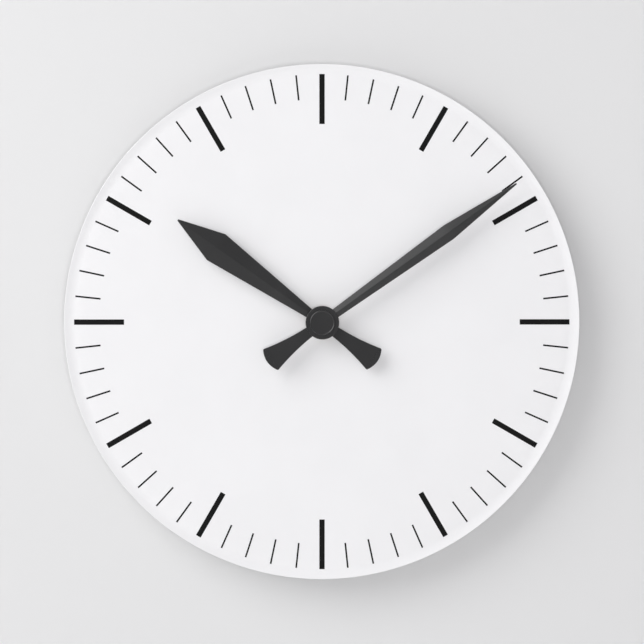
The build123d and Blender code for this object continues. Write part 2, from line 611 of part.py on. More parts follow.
def hanger():
    """Steel plate with a keyhole: the screw head enters below and the shank rides up the slot."""
    height = HANGER_END_CENTRE - HANGER_BOTTOM
    outline = Pos(0, HANGER_BOTTOM + height / 2) * Rectangle(2 * HANGER_HALF_WIDTH, height)
    outline += Pos(0, HANGER_END_CENTRE) * Circle(HANGER_HALF_WIDTH)
    outline -= Pos(0, KEYHOLE_ENTRY_Z) * Circle(KEYHOLE_ENTRY_RADIUS)
    slot_height = KEYHOLE_SEAT_Z - KEYHOLE_ENTRY_Z
    outline -= Pos(0, KEYHOLE_ENTRY_Z + slot_height / 2) * Rectangle(2 * KEYHOLE_SLOT_RADIUS, slot_height)
    outline -= Pos(0, KEYHOLE_SEAT_Z) * Circle(KEYHOLE_SLOT_RADIUS)
    for rivet in RIVETS:
        outline -= Pos(*rivet) * Circle(RIVET_RADIUS)
    return slab(outline, HANGER_REAR, HANGER_FRONT)


def rivet_at(axis):
    """Flat-headed rivet through the hanger and the cover's pocket floor."""
    floor = HANGER_FRONT + 1
    return (
        disc(RIVET_HEAD_RADIUS, 0, HANGER_REAR, axis)
        + disc(RIVET_RADIUS, HANGER_REAR, floor, axis)
        + disc(RIVET_HEAD_RADIUS * 0.8, floor, floor + RIVET_TAIL, axis)
    )


# ---------------------------------------------------------------- battery and contacts
def rod(radius, left, right, depth, height, bore=0.0):
    """A round bar or tube that lies along X."""
    length = right - left
    bar = Cylinder(radius, length)
    if bore:
        bar -= Cylinder(bore, length + 1)
    return Pos((left + right) / 2, -depth, height) * Rot(Y=90) * bar


def battery_rod(radius, left, right, bore=0.0):
    """A round bar or tube on the battery's own axis."""
    return rod(radius, left, right, BATTERY_DEPTH, BATTERY_HEIGHT, bore)


CAN_LEFT = BATTERY_LEFT + BATTERY_NUB
CAN_RADIUS = BATTERY_RADIUS - BATTERY_SLEEVE
SEAL_RADIUS, NEGATIVE_RADIUS = 6.2, 5.2
SEAL_LEFT, CAN_RIGHT = BATTERY_RIGHT - 0.6, BATTERY_RIGHT - 0.15


def battery_can():
    """Steel can of an AA cell, with its positive nub and the recess of the negative end."""
    can = battery_rod(CAN_RADIUS, CAN_LEFT, CAN_RIGHT)
    can += battery_rod(BATTERY_NUB_RADIUS, BATTERY_LEFT, CAN_LEFT)
    return can - battery_rod(SEAL_RADIUS, SEAL_LEFT, BATTERY_RIGHT + 1)


STRIP_OUTER, STRIP_INNER = 26.2, 25.9
STRIP_REAR, STRIP_FRONT = 12.3, 14.4
NECK_REAR, NECK_FRONT = 14.0, 14.7
STRIP_LOW = BAY_CEILING + CONTACT_SLOT_REACH
CONTACT_LOW, CONTACT_HIGH = -24.2, -14.6
RISER_LOW, RISER_HIGH, TAB_INNER = 18.2, 20.4, 24.2


def contact_strip(side):
    """Flat strip from an end of the battery bay, through the wall's slot, up to a tab under the board."""
    board = BOARD_LEVEL[1]
    pieces = [
        (STRIP_INNER, STRIP_OUTER, CONTACT_LOW, CONTACT_HIGH, 2.0, 13.0),
        (STRIP_INNER, STRIP_OUTER, CONTACT_HIGH - 2, CONTACT_HIGH, 12.5, NECK_FRONT),
        (STRIP_INNER, STRIP_OUTER, CONTACT_HIGH, STRIP_LOW + 2, NECK_REAR, NECK_FRONT),
        (STRIP_INNER, STRIP_OUTER, STRIP_LOW, RISER_HIGH, STRIP_REAR, STRIP_FRONT),
        (STRIP_INNER, STRIP_OUTER, RISER_LOW, RISER_HIGH, board, STRIP_FRONT),
        (TAB_INNER, STRIP_OUTER, RISER_LOW, RISER_HIGH, board, board + CONTACT_THICKNESS),
    ]
    strip = Part() + [block(*piece) for piece in pieces]
    return strip if side > 0 else mirror(strip, about=Plane.YZ)


LEAF_REAR, LEAF_FRONT, LEAF_CREST, LEAF_HALF = 3.0, 12.0, 24.85, 3.0


def negative_contact():
    """Contact strip with a sprung leaf that bows towards the battery's flat end."""
    middle = (LEAF_REAR + LEAF_FRONT) / 2
    front, rear = (STRIP_OUTER, -LEAF_FRONT), (STRIP_OUTER, -LEAF_REAR)
    outer = ThreePointArc(front, (LEAF_CREST, -middle), rear)
    inner = ThreePointArc(
        (STRIP_OUTER, -LEAF_FRONT + 0.8),
        (LEAF_CREST + CONTACT_THICKNESS, -middle),
        (STRIP_OUTER, -LEAF_REAR - 0.8),
    )
    face = make_face([outer, inner, Line(front, inner @ 0), Line(rear, inner @ 1)])
    leaf = Pos(0, 0, BATTERY_HEIGHT - LEAF_HALF) * extrude(face, amount=2 * LEAF_HALF)
    return contact_strip(1) + leaf


# ---------------------------------------------------------------- stepping motor and circuit
def stator():
    """Soft-iron plate: a ring round the rotor and two legs that rise to the coil's core."""
    arm_low, arm_high = ROTOR_AXIS[1] + 0.4, ROTOR_AXIS[1] + 3.4
    top = COIL_Z + CORE_HALF
    plate = disc(STATOR_RING, *STATOR_LEVEL, ROTOR_AXIS)
    plate += block(CORE_LEFT, ROTOR_AXIS[0], arm_low, arm_high, *STATOR_LEVEL)
    plate += block(ROTOR_AXIS[0], CORE_RIGHT, arm_low, arm_high, *STATOR_LEVEL)
    for left in (CORE_LEFT, CORE_RIGHT - 3.5):
        plate += block(left, left + 3.5, arm_low, top, *STATOR_LEVEL)
    plate -= disc(STATOR_HOLE, STATOR_LEVEL[0] - 1, STATOR_LEVEL[1] + 1, ROTOR_AXIS)
    for post in CORE_POSTS:
        plate -= disc(STAKE_RADIUS, STATOR_LEVEL[0] - 1, STATOR_LEVEL[1] + 1, post)
    return plate


def coil_core():
    """Soft-iron bar through the bobbin."""
    core = block(CORE_LEFT, CORE_RIGHT, COIL_Z - CORE_HALF, COIL_Z + CORE_HALF, *CORE_LEVEL)
    for post in CORE_POSTS:
        core -= disc(STAKE_RADIUS, CORE_LEVEL[0] - 1, CORE_LEVEL[1] + 1, post)
    return core


def coil_bobbin():
    """Moulded bobbin: a barrel between two square flanges, pierced by the core."""
    bobbin = rod(BOBBIN_BARREL, BOBBIN_LEFT, BOBBIN_RIGHT, COIL_DEPTH, COIL_Z)
    for left in (BOBBIN_LEFT, BOBBIN_RIGHT - BOBBIN_FLANGE):
        bobbin += block(
            left,
            left + BOBBIN_FLANGE,
            COIL_Z - BOBBIN_HALF,
            COIL_Z + BOBBIN_HALF,
            COIL_DEPTH - BOBBIN_HALF,
            COIL_DEPTH + BOBBIN_HALF,
        )
    return bobbin - block(CORE_LEFT, CORE_RIGHT, COIL_Z - CORE_HALF, COIL_Z + CORE_HALF, *CORE_LEVEL)


WIRE_PINS = [(BOBBIN_LEFT + BOBBIN_FLANGE / 2, 23.8), (BOBBIN_RIGHT - BOBBIN_FLANGE / 2, 23.8)]
WIRE_PIN_RADIUS = 0.25


def circuit_board():
    """Phenolic strip board, staked on two posts and pierced by the coil's terminal pins."""
    board = block(-BOARD_HALF_LENGTH, BOARD_HALF_LENGTH, BOARD_BOTTOM, BOARD_TOP, *BOARD_LEVEL)
    for post in BOARD_POSTS:
        board -= disc(STAKE_RADIUS, BOARD_LEVEL[0] - 1, BOARD_LEVEL[1] + 1, post)
    for pin in WIRE_PINS:
        board -= disc(WIRE_PIN_RADIUS, BOARD_LEVEL[0] - 1, BOARD_LEVEL[1] + 1, pin)
    return board


CHIP_AXIS, CHIP_RADIUS, CHIP_HEIGHT = (-14.0, 21.4), 2.8, 0.9
CRYSTAL_LEFT, CRYSTAL_RIGHT, CRYSTAL_RADIUS, CRYSTAL_Z = -19.0, -13.0, 1.0, 22.4


def chip_blob():
    """Domed drop of black resin over the bare chip."""
    blob = disc(CHIP_RADIUS, BOARD_LEVEL[0] - CHIP_HEIGHT, BOARD_LEVEL[0], CHIP_AXIS)
    return fillet(blob.faces().sort_by(Axis.Y)[-1].edges(), CHIP_HEIGHT * 0.9)


# ---------------------------------------------------------------- arbors and wheels
def arbor(seat):
    """Steel arbor with a pivot at each end, from the bridge to a seat in the case."""
    body = disc(ARBOR_RADIUS, BRIDGE_FRONT + END_PLAY, seat - END_PLAY)
    return body + disc(PIVOT_RADIUS, BRIDGE_REAR + 0.2, seat + PIVOT_SEAT)


def wheel_with_pinion(wheel, pinion, windows, window_radius, window_at):
    """A wheel and a pinion moulded in one piece, with a slim hub between them, bored for the arbor."""
    openings = {"windows": windows, "window_radius": window_radius, "window_at": window_at}
    wheel_part = gear(*wheel, bore=ARBOR_RADIUS, **openings)
    pinion_part = gear(*pinion, pinion=True, bore=ARBOR_RADIUS)
    rear, front = min(wheel[3][0], pinion[3][0]), max(wheel[3][1], pinion[3][1])
    hub_radius = pinion[0] * pinion[1] / 2 - PINION_DEDENDUM * pinion[1] - 0.02
    return wheel_part + pinion_part + disc(hub_radius, rear, front, bore=ARBOR_RADIUS)


def seconds_arbor():
    """Long thin arbor through the middle of the minute tube."""
    body = disc(ARBOR_RADIUS, BRIDGE_FRONT + END_PLAY, MINUTE_TUBE_FRONT - 0.4)
    return body + disc(PIVOT_RADIUS, BRIDGE_REAR + 0.2, BRIDGE_FRONT + 1)


def minute_arbor():
    """Brass tube with the cannon pinion at its rear; it carries the minute hand."""
    tube = disc(MINUTE_TUBE_RADIUS, MINUTE_TUBE_REAR, MINUTE_TUBE_FRONT)
    tube += gear(CANNON_LEAVES, MOTION_MODULE, CANNON_PHASE, CANNON_PINION_LEVEL, pinion=True)
    return tube - disc(MINUTE_TUBE_BORE, MINUTE_TUBE_REAR - 1, MINUTE_TUBE_FRONT + 1)


def hour_wheel():
    """Wheel and long tube in one; the tube turns in the threaded bush and carries the hour hand."""
    openings = {"windows": 5, "window_radius": 1.1, "window_at": 4.9}
    wheel = gear(HOUR_TEETH, HOUR_MODULE, HOUR_PHASE, HOUR_WHEEL_LEVEL, **openings)
    tube = disc(HOUR_TUBE_RADIUS, HOUR_WHEEL_LEVEL[0], HOUR_TUBE_FRONT)
    return (wheel + tube) - disc(HOUR_TUBE_BORE, HOUR_WHEEL_LEVEL[0] - 1, HOUR_TUBE_FRONT + 1)


def clutch_spring():
    """Dished friction washer between the centre wheel and the cannon pinion."""
    rear, front = CENTRE_WHEEL_LEVEL[1], CANNON_PINION_LEVEL[0]
    inner, outer, thickness = MINUTE_TUBE_RADIUS, 4.6, 0.2
    return lathe([(inner, front - thickness), (outer, rear), (outer, rear + thickness), (inner, front)])


def setting_arbor():
    """Moulded arbor with its pinion, turned by the knob at the rear."""
    stem = disc(SETTING_ARBOR_RADIUS, KNOB_REAR + 0.6, FRONT_WALL_REAR - END_PLAY)
    stem += disc(PIVOT_RADIUS, CASE_FRONT - 2, FRONT_WALL_REAR + PIVOT_SEAT)
    pinion = gear(SETTING_LEAVES, MOTION_MODULE, SETTING_PHASE, CANNON_PINION_LEVEL, pinion=True)
    return moved_to(stem + pinion, SETTING_AXIS)


def setting_knob():
    """Flat knob with a ridged edge and a raised grip bar in a round hollow."""
    knob = disc(KNOB_RADIUS, KNOB_REAR, KNOB_FRONT)
    groove = disc(0.32, KNOB_REAR - 1, KNOB_FRONT + 1, (0, KNOB_RADIUS + 0.08))
    for n in range(KNOB_RIDGES):
        knob -= turned_to(groove, 360 / KNOB_RIDGES * n)
    knob -= disc(4.4, KNOB_REAR - 1, KNOB_REAR + 0.5)
    knob += block(-3.9, 3.9, -0.8, 0.8, KNOB_REAR, KNOB_REAR + 0.5)
    knob -= disc(SETTING_ARBOR_RADIUS, KNOB_REAR + 0.6, KNOB_FRONT + 1)
    return moved_to(knob, SETTING_AXIS)


def save_dial():
    """The dial, its printed marks and the parts that clamp it to the movement."""
    hour_angles = [30 * n for n in range(12)]
    minute_angles = [6 * n for n in range(60) if n % 5]
    save("dial_plate", dial_plate())
    save("hour_marks", *marks(hour_angles, HOUR_MARK_LENGTH, HOUR_MARK_WIDTH))
    save("minute_marks", *marks(minute_angles, MINUTE_MARK_LENGTH, MINUTE_MARK_WIDTH))
    save("rubber_gasket", disc(GASKET_RADIUS, CASE_FRONT, DIAL_REAR, bore=SHAFT_HOLE_RADIUS))
    save("centre_bush", centre_bush())
    save("front_washer", disc(WASHER_RADIUS, DIAL_FRONT, NUT_REAR, bore=SHAFT_HOLE_RADIUS))
    save("dial_nut", dial_nut())


def save_case():
    """The movement's case, the bridge over the train and the wall hanger."""
    save("front_case", front_case())
    save("rear_cover", rear_cover())
    save("train_bridge", train_bridge())
    save("bridge_screws", *[screw(pillar) for pillar in PILLARS])
    save("hanger_plate", hanger())
    save("hanger_rivets", *[rivet_at(rivet) for rivet in RIVETS])


def save_circuit():
    """The board, the coil and the battery contacts."""
    save("circuit_board", circuit_board())
    save("chip_resin", chip_blob())
    save(
        "quartz_crystal",
        rod(CRYSTAL_RADIUS, CRYSTAL_LEFT, CRYSTAL_RIGHT, BOARD_LEVEL[1] + CRYSTAL_RADIUS, CRYSTAL_Z),
    )
    save("coil_bobbin", coil_bobbin())
    save(
        "coil_winding",
        rod(
            WINDING_RADIUS,
            BOBBIN_LEFT + BOBBIN_FLANGE,
            BOBBIN_RIGHT - BOBBIN_FLANGE,
            COIL_DEPTH,
            COIL_Z,
            BOBBIN_BARREL,
        ),
    )
    save("coil_core", coil_core())
    pins = [disc(WIRE_PIN_RADIUS, BOARD_LEVEL[0] - 0.3, BOARD_LEVEL[1], pin) for pin in WIRE_PINS]
    save("coil_pins", *pins)
    save("stator_plate", stator())
    save("positive_contact", contact_strip(-1))
    save("negative_contact", negative_contact())


def save_battery():
    """The AA cell: can, sleeve, seal and negative plate."""
    save("battery_can", battery_can())
    save("battery_sleeve", battery_rod(BATTERY_RADIUS, CAN_LEFT + 0.2, CAN_RIGHT - 0.1, CAN_RADIUS))
    save("battery_seal", battery_rod(SEAL_RADIUS, SEAL_LEFT, CAN_RIGHT, NEGATIVE_RADIUS))
    save("battery_negative", battery_rod(NEGATIVE_RADIUS, SEAL_LEFT, BATTERY_RIGHT))


def save_train():
    """The going train, from the stepping rotor down to the centre wheel."""
    rotor_seat = PIVOT_SEATS[ROTOR_AXIS]
    teeth = (ROTOR_LEAVES, ROTOR_MODULE, ROTOR_PHASE, ROTOR_PINION_LEVEL)
    pinion = gear(*teeth, pinion=True, bore=ARBOR_RADIUS)
    pinion += disc(1.6, ROTOR_PINION_LEVEL[1], ROTOR_MAGNET_LEVEL[0], bore=ARBOR_RADIUS)
    save("rotor_arbor", moved_to(arbor(rotor_seat), ROTOR_AXIS))
    save("rotor_pinion", moved_to(pinion, ROTOR_AXIS))
    save("rotor_magnet", disc(ROTOR_MAGNET_RADIUS, *ROTOR_MAGNET_LEVEL, ROTOR_AXIS, ARBOR_RADIUS))

    intermediate = wheel_with_pinion(
        (INTERMEDIATE_TEETH, ROTOR_MODULE, INTERMEDIATE_PHASE, INTERMEDIATE_WHEEL_LEVEL),
        (INTERMEDIATE_LEAVES, SECONDS_MODULE, INTERMEDIATE_PHASE, INTERMEDIATE_PINION_LEVEL),
        4, 1.0, 3.2,
    )
    save("intermediate_arbor", moved_to(arbor(PIVOT_SEATS[INTERMEDIATE_AXIS]), INTERMEDIATE_AXIS))
    save("intermediate_wheel", moved_to(intermediate, INTERMEDIATE_AXIS))

    seconds = wheel_with_pinion(
        (SECONDS_TEETH, SECONDS_MODULE, SECONDS_PHASE, SECONDS_WHEEL_LEVEL),
        (SECONDS_LEAVES, THIRD_MODULE, SECONDS_PHASE, SECONDS_PINION_LEVEL),
        5, 1.8, 4.8,
    )
    save("seconds_arbor", seconds_arbor())
    save("seconds_wheel", seconds)

    third = wheel_with_pinion(
        (THIRD_TEETH, THIRD_MODULE, THIRD_PHASE, THIRD_WHEEL_LEVEL),
        (THIRD_LEAVES, CENTRE_MODULE, THIRD_PHASE, THIRD_PINION_LEVEL),
        5, 1.7, 4.6,
    )
    save("third_arbor", moved_to(arbor(FRONT_WALL_REAR), THIRD_AXIS))
    save("third_wheel", moved_to(third, THIRD_AXIS))

    centre = gear(
        CENTRE_TEETH, CENTRE_MODULE, CENTRE_PHASE, CENTRE_WHEEL_LEVEL,
        bore=MINUTE_TUBE_RADIUS, windows=5, window_radius=1.1, window_at=5.4,
    )
    save("centre_wheel", centre)
    save("clutch_spring", clutch_spring())


def save_motion_work():
    """The wheels between the hands, and the setting gear."""
    motion = wheel_with_pinion(
        (MOTION_TEETH, MOTION_MODULE, MOTION_PHASE, MOTION_WHEEL_LEVEL),
        (MOTION_LEAVES, HOUR_MODULE, MOTION_PHASE, MOTION_PINION_LEVEL),
        5, 1.4, 4.2,
    )
    save("motion_arbor", moved_to(arbor(FRONT_WALL_REAR), MOTION_AXIS))
    save("motion_wheel", moved_to(motion, MOTION_AXIS))
    save("setting_arbor", setting_arbor())
    save("setting_knob", setting_knob())
    save("minute_arbor", minute_arbor())
    save("hour_wheel", hour_wheel())


def save_hands():
    """The hands, their collets and the cap over the hub."""
    save("hour_hand", hour_hand())
    save("hour_collet", collet(HOUR_COLLET_RADIUS, HOUR_TUBE_RADIUS, HOUR_HUB_REAR, HOUR_HUB_FRONT))
    save("minute_hand", minute_hand())
    sleeve = collet(MINUTE_COLLET_RADIUS, MINUTE_TUBE_RADIUS, MINUTE_HUB_REAR, MINUTE_TUBE_FRONT)
    save("minute_collet", sleeve)
    save("hub_cap", hub_cap())


save_dial()
save_case()
save_circuit()
save_battery()
save_train()
save_motion_work()
save_hands()
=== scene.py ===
"""Wall clock: finished surfaces, studio and camera, laid out as a Blender add-on and run as a script.

Lengths in the settings are metres. Depth is measured from the wall towards the viewer, so depth d lies at
y = -d. Angles of hands and marks are clockwise from 12 o'clock, as the viewer sees them.
"""

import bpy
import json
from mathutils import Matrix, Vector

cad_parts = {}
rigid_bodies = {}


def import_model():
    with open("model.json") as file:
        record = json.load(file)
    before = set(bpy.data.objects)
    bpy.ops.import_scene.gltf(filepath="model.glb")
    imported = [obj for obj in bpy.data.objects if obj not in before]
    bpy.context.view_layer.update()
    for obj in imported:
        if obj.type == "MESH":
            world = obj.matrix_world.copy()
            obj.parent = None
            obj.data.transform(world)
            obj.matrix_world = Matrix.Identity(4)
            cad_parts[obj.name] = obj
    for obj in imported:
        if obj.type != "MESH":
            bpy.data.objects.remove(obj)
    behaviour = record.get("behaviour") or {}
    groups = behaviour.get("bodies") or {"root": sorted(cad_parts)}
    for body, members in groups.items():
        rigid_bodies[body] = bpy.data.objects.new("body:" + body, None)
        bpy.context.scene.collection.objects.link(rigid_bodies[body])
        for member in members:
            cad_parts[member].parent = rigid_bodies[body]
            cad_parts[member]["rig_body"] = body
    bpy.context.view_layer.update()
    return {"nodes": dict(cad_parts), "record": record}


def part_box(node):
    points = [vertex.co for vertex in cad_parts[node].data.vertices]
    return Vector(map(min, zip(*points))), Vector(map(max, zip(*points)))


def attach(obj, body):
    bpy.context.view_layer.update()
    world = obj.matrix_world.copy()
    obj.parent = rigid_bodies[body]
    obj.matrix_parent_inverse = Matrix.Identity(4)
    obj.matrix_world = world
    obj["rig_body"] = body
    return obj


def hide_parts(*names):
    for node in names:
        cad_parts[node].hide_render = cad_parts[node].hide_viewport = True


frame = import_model()

import json
import math

import bmesh
import bpy
import numpy as np
from bpy.props import FloatProperty, FloatVectorProperty, PointerProperty
from mathutils import Vector

bl_info = {
    "name": "Wall clock",
    "version": (1, 0, 0),
    "blender": (4, 5, 0),
    "location": "3D View > Sidebar > Clock",
    "description": "Builds the surfaces, finishes and studio of a frameless quartz wall clock",
    "category": "Add Mesh",
}

NODES = frame["nodes"]
MM = 0.001

# Each hand as it points to 12 o'clock, in millimetres. The outline is the distance along the blade and the half
# width at the root, the shoulder and the blunt tip, with the roundings of the shoulder and the tip. The slope is
# the rise of the roof across the blade. The boss is its outer and bore radius, its rear and front depth, and
# the roundings of its front edge and of its bore's edge.
HANDS = {
    "hour": {
        "outline": [(6, 2.35), (68.6, 8.4), (93.5, 0.4), (93.5, 0.03)],
        "rounding": [0.5, 0.28],
        "slope": 0.1,
        "boss": (7.5, 4.0, 27.4, 29.8, 0.3, 0.1),
    },
    "minute": {
        "outline": [(7, 2.5), (82, 4.45), (125.9, 0.38), (125.9, 0.03)],
        "rounding": [1.4, 0.26],
        "slope": 0.28,
        "boss": (8.85, 3.2, 31.2, 33.5, 0.34, 0.1),
    },
}

# The tail, in millimetres: the half width is root + spread * s + flare * s^2 at distance s beyond the root.
TAIL_ROOT, TAIL_ROOT_HALF_WIDTH, TAIL_SPREAD, TAIL_FLARE = 6.0, 2.75, 0.0305, 0.00424
TAIL_CORNER, TAIL_CORNER_HALF_WIDTH, TAIL_CORNER_ROUNDING = 33.6, 6.8, 0.62
TAIL_SIDE_END, TAIL_END = 33.0, 35.7

# Where the lights stand, in metres: the key at the upper left, the fill in front and two lights behind the wall.
KEY_PLACE, FILL_PLACE = (-1.13, -1.177, 0.791), (0, -2.92, 0)
REAR_LEFT_PLACE, REAR_RIGHT_PLACE = (-1.2, 1.4, 0.9), (1.3, 1.2, -0.2)


# ------------------------------------------------------------------ settings
def length(name, description, default):
    """A length property in metres."""
    return FloatProperty(
        name=name, description=description, default=default, min=0.0, unit="LENGTH", precision=5
    )


def number(name, description, default, low=0.0, high=1.0):
    """A plain number property."""
    return FloatProperty(name=name, description=description, default=default, min=low, max=high)


def colour(name, description, default):
    """A linear colour property."""
    return FloatVectorProperty(
        name=name, description=description, default=default, size=3, subtype="COLOR", min=0, max=1
    )


def angle(name, description, default):
    """An angle property; the default is given in degrees."""
    return FloatProperty(name=name, description=description, default=math.radians(default), subtype="ANGLE")


class ClockDialSettings(bpy.types.PropertyGroup):
    """The dial plate and its printed marks."""

    radius: length("Radius", "Outer radius of the dial plate", 136.5 * MM)
    rear: length("Rear depth", "Depth of the plate's rear face", 17.0 * MM)
    front: length("Front depth", "Depth of the flat face", 21.0 * MM)
    fall: length("Fall", "Radius of the corner where the face starts to fall, before rounding", 127.6 * MM)
    valley: length("Valley", "Radius of the valley's corner, before rounding", 132.44 * MM)
    valley_depth: length("Valley depth", "Depth of the valley's corner, before rounding", 20.627 * MM)
    lip_depth: length("Lip depth", "Depth of the lip's corner, before rounding", 21.807 * MM)
    hole: length("Hole", "Radius of the shaft hole", 4.1 * MM)
    mark_end: length("Mark end", "Radius of the marks' outer ends", 131.2 * MM)
    hour_length: length("Hour mark length", "Length of an hour mark", 26.4 * MM)
    hour_width: length("Hour mark width", "Width of an hour mark", 2.8 * MM)
    minute_length: length("Minute mark length", "Length of a minute mark", 13.3 * MM)
    minute_width: length("Minute mark width", "Width of a minute mark", 0.87 * MM)
    ink: length("Ink thickness", "Height of the printed ink", 0.1 * MM)
    face_colour: colour("Face", "Colour of the dial plate", (0.907, 0.904, 0.912))
    ink_colour: colour("Ink", "Colour of the marks", (0.0022, 0.0022, 0.0022))


class ClockHandSettings(bpy.types.PropertyGroup):
    """The hands and the cap."""

    hour_angle: angle("Hour angle", "Where the hour hand points", 305.4)
    minute_angle: angle("Minute angle", "Where the minute hand points", 54.4)
    hour_base: length("Hour blade depth", "Depth of the hour blade's underside", 27.8 * MM)
    minute_base: length("Minute blade depth", "Depth of the minute blade's underside", 31.6 * MM)
    edge: length("Blade edge", "Height of a blade's side", 0.6 * MM)
    tail: length("Tail thickness", "Thickness of a tail", 1.0 * MM)
    softness: length("Edge softness", "Rounding of moulded edges", 0.11 * MM)
    colour: colour("Plastic", "Colour of the hands", (0.0175, 0.0175, 0.0178))


class ClockCaseSettings(bpy.types.PropertyGroup):
    """The movement's case."""

    edge: length("Edge rounding", "Rounding of the moulded case's edges", 0.25 * MM)
    colour: colour("Plastic", "Colour of the movement's case", (0.018, 0.018, 0.019))
    cell_colour: colour("Cell label", "Colour of the cell's sleeve", (0.03, 0.09, 0.22))
    cell_band: colour("Cell band", "Colour of the band at the positive end", (0.55, 0.56, 0.58))


class ClockStageSettings(bpy.types.PropertyGroup):
    """Wall, floor, lights and camera."""

    wall_colour: colour("Wall", "Colour of the wall", (0.79, 0.79, 0.79))
    floor_colour: colour("Floor", "Colour of the floor", (0.72, 0.72, 0.72))
    key_power: number("Key power", "Power of the key light in watts", 17.1, 0, 1000)
    key_size: length("Key size", "Diameter of the key light", 1.6)
    fill_power: number("Fill power", "Power of the frontal fill in watts", 24.8, 0, 1000)
    rear_power: number("Rear power", "Power of the larger light behind the wall in watts", 17.0, 0, 1000)
    world: number("Ambient", "Strength of the pale surroundings", 0.345, 0, 10)
    camera_distance: length("Camera distance", "Distance from the camera to the wall", 2.4)
    camera_left: length("Camera left", "How far the camera stands to the left of the hand axis", 0.04)
    camera_up: length("Camera up", "How far the camera stands above the hand axis", 0.075)
    framed: length("Framed width", "Width of the view at the dial", 0.3411)


# ------------------------------------------------------------------ meshes
def rounded(points, radii, steps=5):
    """A chain of points with rounded corners.

    Each corner P becomes the curve (1-u)^2 A + 2u(1-u) P + u^2 B, where A and B lie on the corner's two arms
    at the given distance from P.
    """
    points = np.asarray(points, float)
    u = np.linspace(0, 1, steps + 1)[:, None]
    chain = [points[:1]]
    for before, corner, after, radius in zip(points, points[1:], points[2:], radii):
        a = corner + (before - corner) * radius / np.linalg.norm(before - corner)
        b = corner + (after - corner) * radius / np.linalg.norm(after - corner)
        chain.append((1 - u) ** 2 * a + 2 * u * (1 - u) * corner + u**2 * b if radius else corner[None])
    return np.vstack(chain + [points[-1:]])


def rounded_loop(points, radii, steps=5):
    """The same for a closed chain: every corner is rounded."""
    points, radii = list(points), list(radii)
    return rounded([points[-1]] + points + [points[0]], radii, steps)[1:-1]


def grid_faces(rows, columns, wrap_rows=False, wrap_columns=True, start=0):
    """Quads over a grid of rows by columns; either direction may close on itself."""
    i = np.arange(rows if wrap_rows else rows - 1)[:, None]
    j = np.arange(columns if wrap_columns else columns - 1)[None, :]
    below, beside = (i + 1) % rows, (j + 1) % columns
    near, far = i * columns, below * columns
    quads = np.stack([near + j, near + beside, far + beside, far + j], -1)
    return (quads.reshape(-1, 4) + start).tolist()


def turned(profile, segments=256, closed=False):
    """Surface of revolution about the hand axis.

    Profile point (r, d) at angle t goes to (r sin t, -d, r cos t). An open profile's ends are closed with
    discs.
    """
    r, d = np.asarray(profile, float).T
    t = np.linspace(0, 2 * math.pi, segments, endpoint=False)
    x, z = np.outer(r, np.sin(t)), np.outer(r, np.cos(t))
    vertices = np.stack([x, np.broadcast_to(-d[:, None], x.shape), z], -1).reshape(-1, 3)
    faces = grid_faces(len(r), segments, wrap_rows=closed)
    if not closed:
        last = (len(r) - 1) * segments
        faces += [list(range(segments)), list(range(last, last + segments))]
    return vertices, faces


def joined(*shells):
    """Several closed shells as one set of vertices and faces."""
    vertices, faces, start = [], [], 0
    for shell_vertices, shell_faces in shells:
        vertices.append(shell_vertices)
        faces += [[index + start for index in face] for face in shell_faces]
        start += len(shell_vertices)
    return np.vstack(vertices), faces


def swung(vertices, turn):
    """Vertices turned clockwise about the hand axis.

    Point (x, z) goes to (x cos a + z sin a, z cos a - x sin a).
    """
    x, y, z = vertices.T
    return np.stack([x * math.cos(turn) + z * math.sin(turn), y, z * math.cos(turn) - x * math.sin(turn)], -1)


def piece(name, shell, material, nodes, crease=30.0):
    """A finished mesh object that stands for CAD nodes and rides on their body."""
    vertices, faces = shell
    mesh = bpy.data.meshes.new(name)
    mesh.from_pydata(np.asarray(vertices).tolist(), [], faces)
    return settle(name, mesh, material, nodes, crease)


def settle(name, mesh, material, nodes, crease):
    """Turns a mesh's faces outwards, smooths it up to a crease angle and puts it in the scene."""
    shape = bmesh.new()
    shape.from_mesh(mesh)
    bmesh.ops.recalc_face_normals(shape, faces=shape.faces)
    shape.to_mesh(mesh)
    shape.free()
    mesh.shade_smooth()
    mesh.set_sharp_from_angle(angle=math.radians(crease))
    mesh.materials.clear()
    mesh.materials.append(material)
    made = bpy.data.objects.new(name, mesh)
    bpy.context.scene.collection.objects.link(made)
    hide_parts(*nodes)
    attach(made, NODES[nodes[0]]["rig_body"])
    return made


def flat_faces(made):
    """Lets the large faces of a piece shade flat, so that only its rounded edges bend the light."""
    normals = made.modifiers.new("Flat faces", "WEIGHTED_NORMAL")
    normals.keep_sharp, normals.weight = True, 90
    return made


def softened(node, name, material, width, segments=2):
    """A copy of a CAD node, welded, with flat faces rejoined and its edges rounded by a bevel."""
    mesh = NODES[node].data.copy()
    shape = bmesh.new()
    shape.from_mesh(mesh)
    bmesh.ops.remove_doubles(shape, verts=shape.verts, dist=0.002 * MM)
    bmesh.ops.dissolve_limit(shape, angle_limit=math.radians(0.4), verts=shape.verts, edges=shape.edges)
    shape.to_mesh(mesh)
    shape.free()
    made = settle(name, mesh, material, [node], 35.0)
    bevel = made.modifiers.new("Rounded edges", "BEVEL")
    bevel.width, bevel.segments, bevel.limit_method = width, segments, "ANGLE"
    bevel.angle_limit, bevel.harden_normals = math.radians(40), True
    bevel.use_clamp_overlap = True
    return flat_faces(made)


def finish_nodes(material, *names):
    """Gives CAD nodes that keep their shape a finish of their own."""
    for name in names:
        NODES[name].data.materials.clear()
        NODES[name].data.materials.append(material)


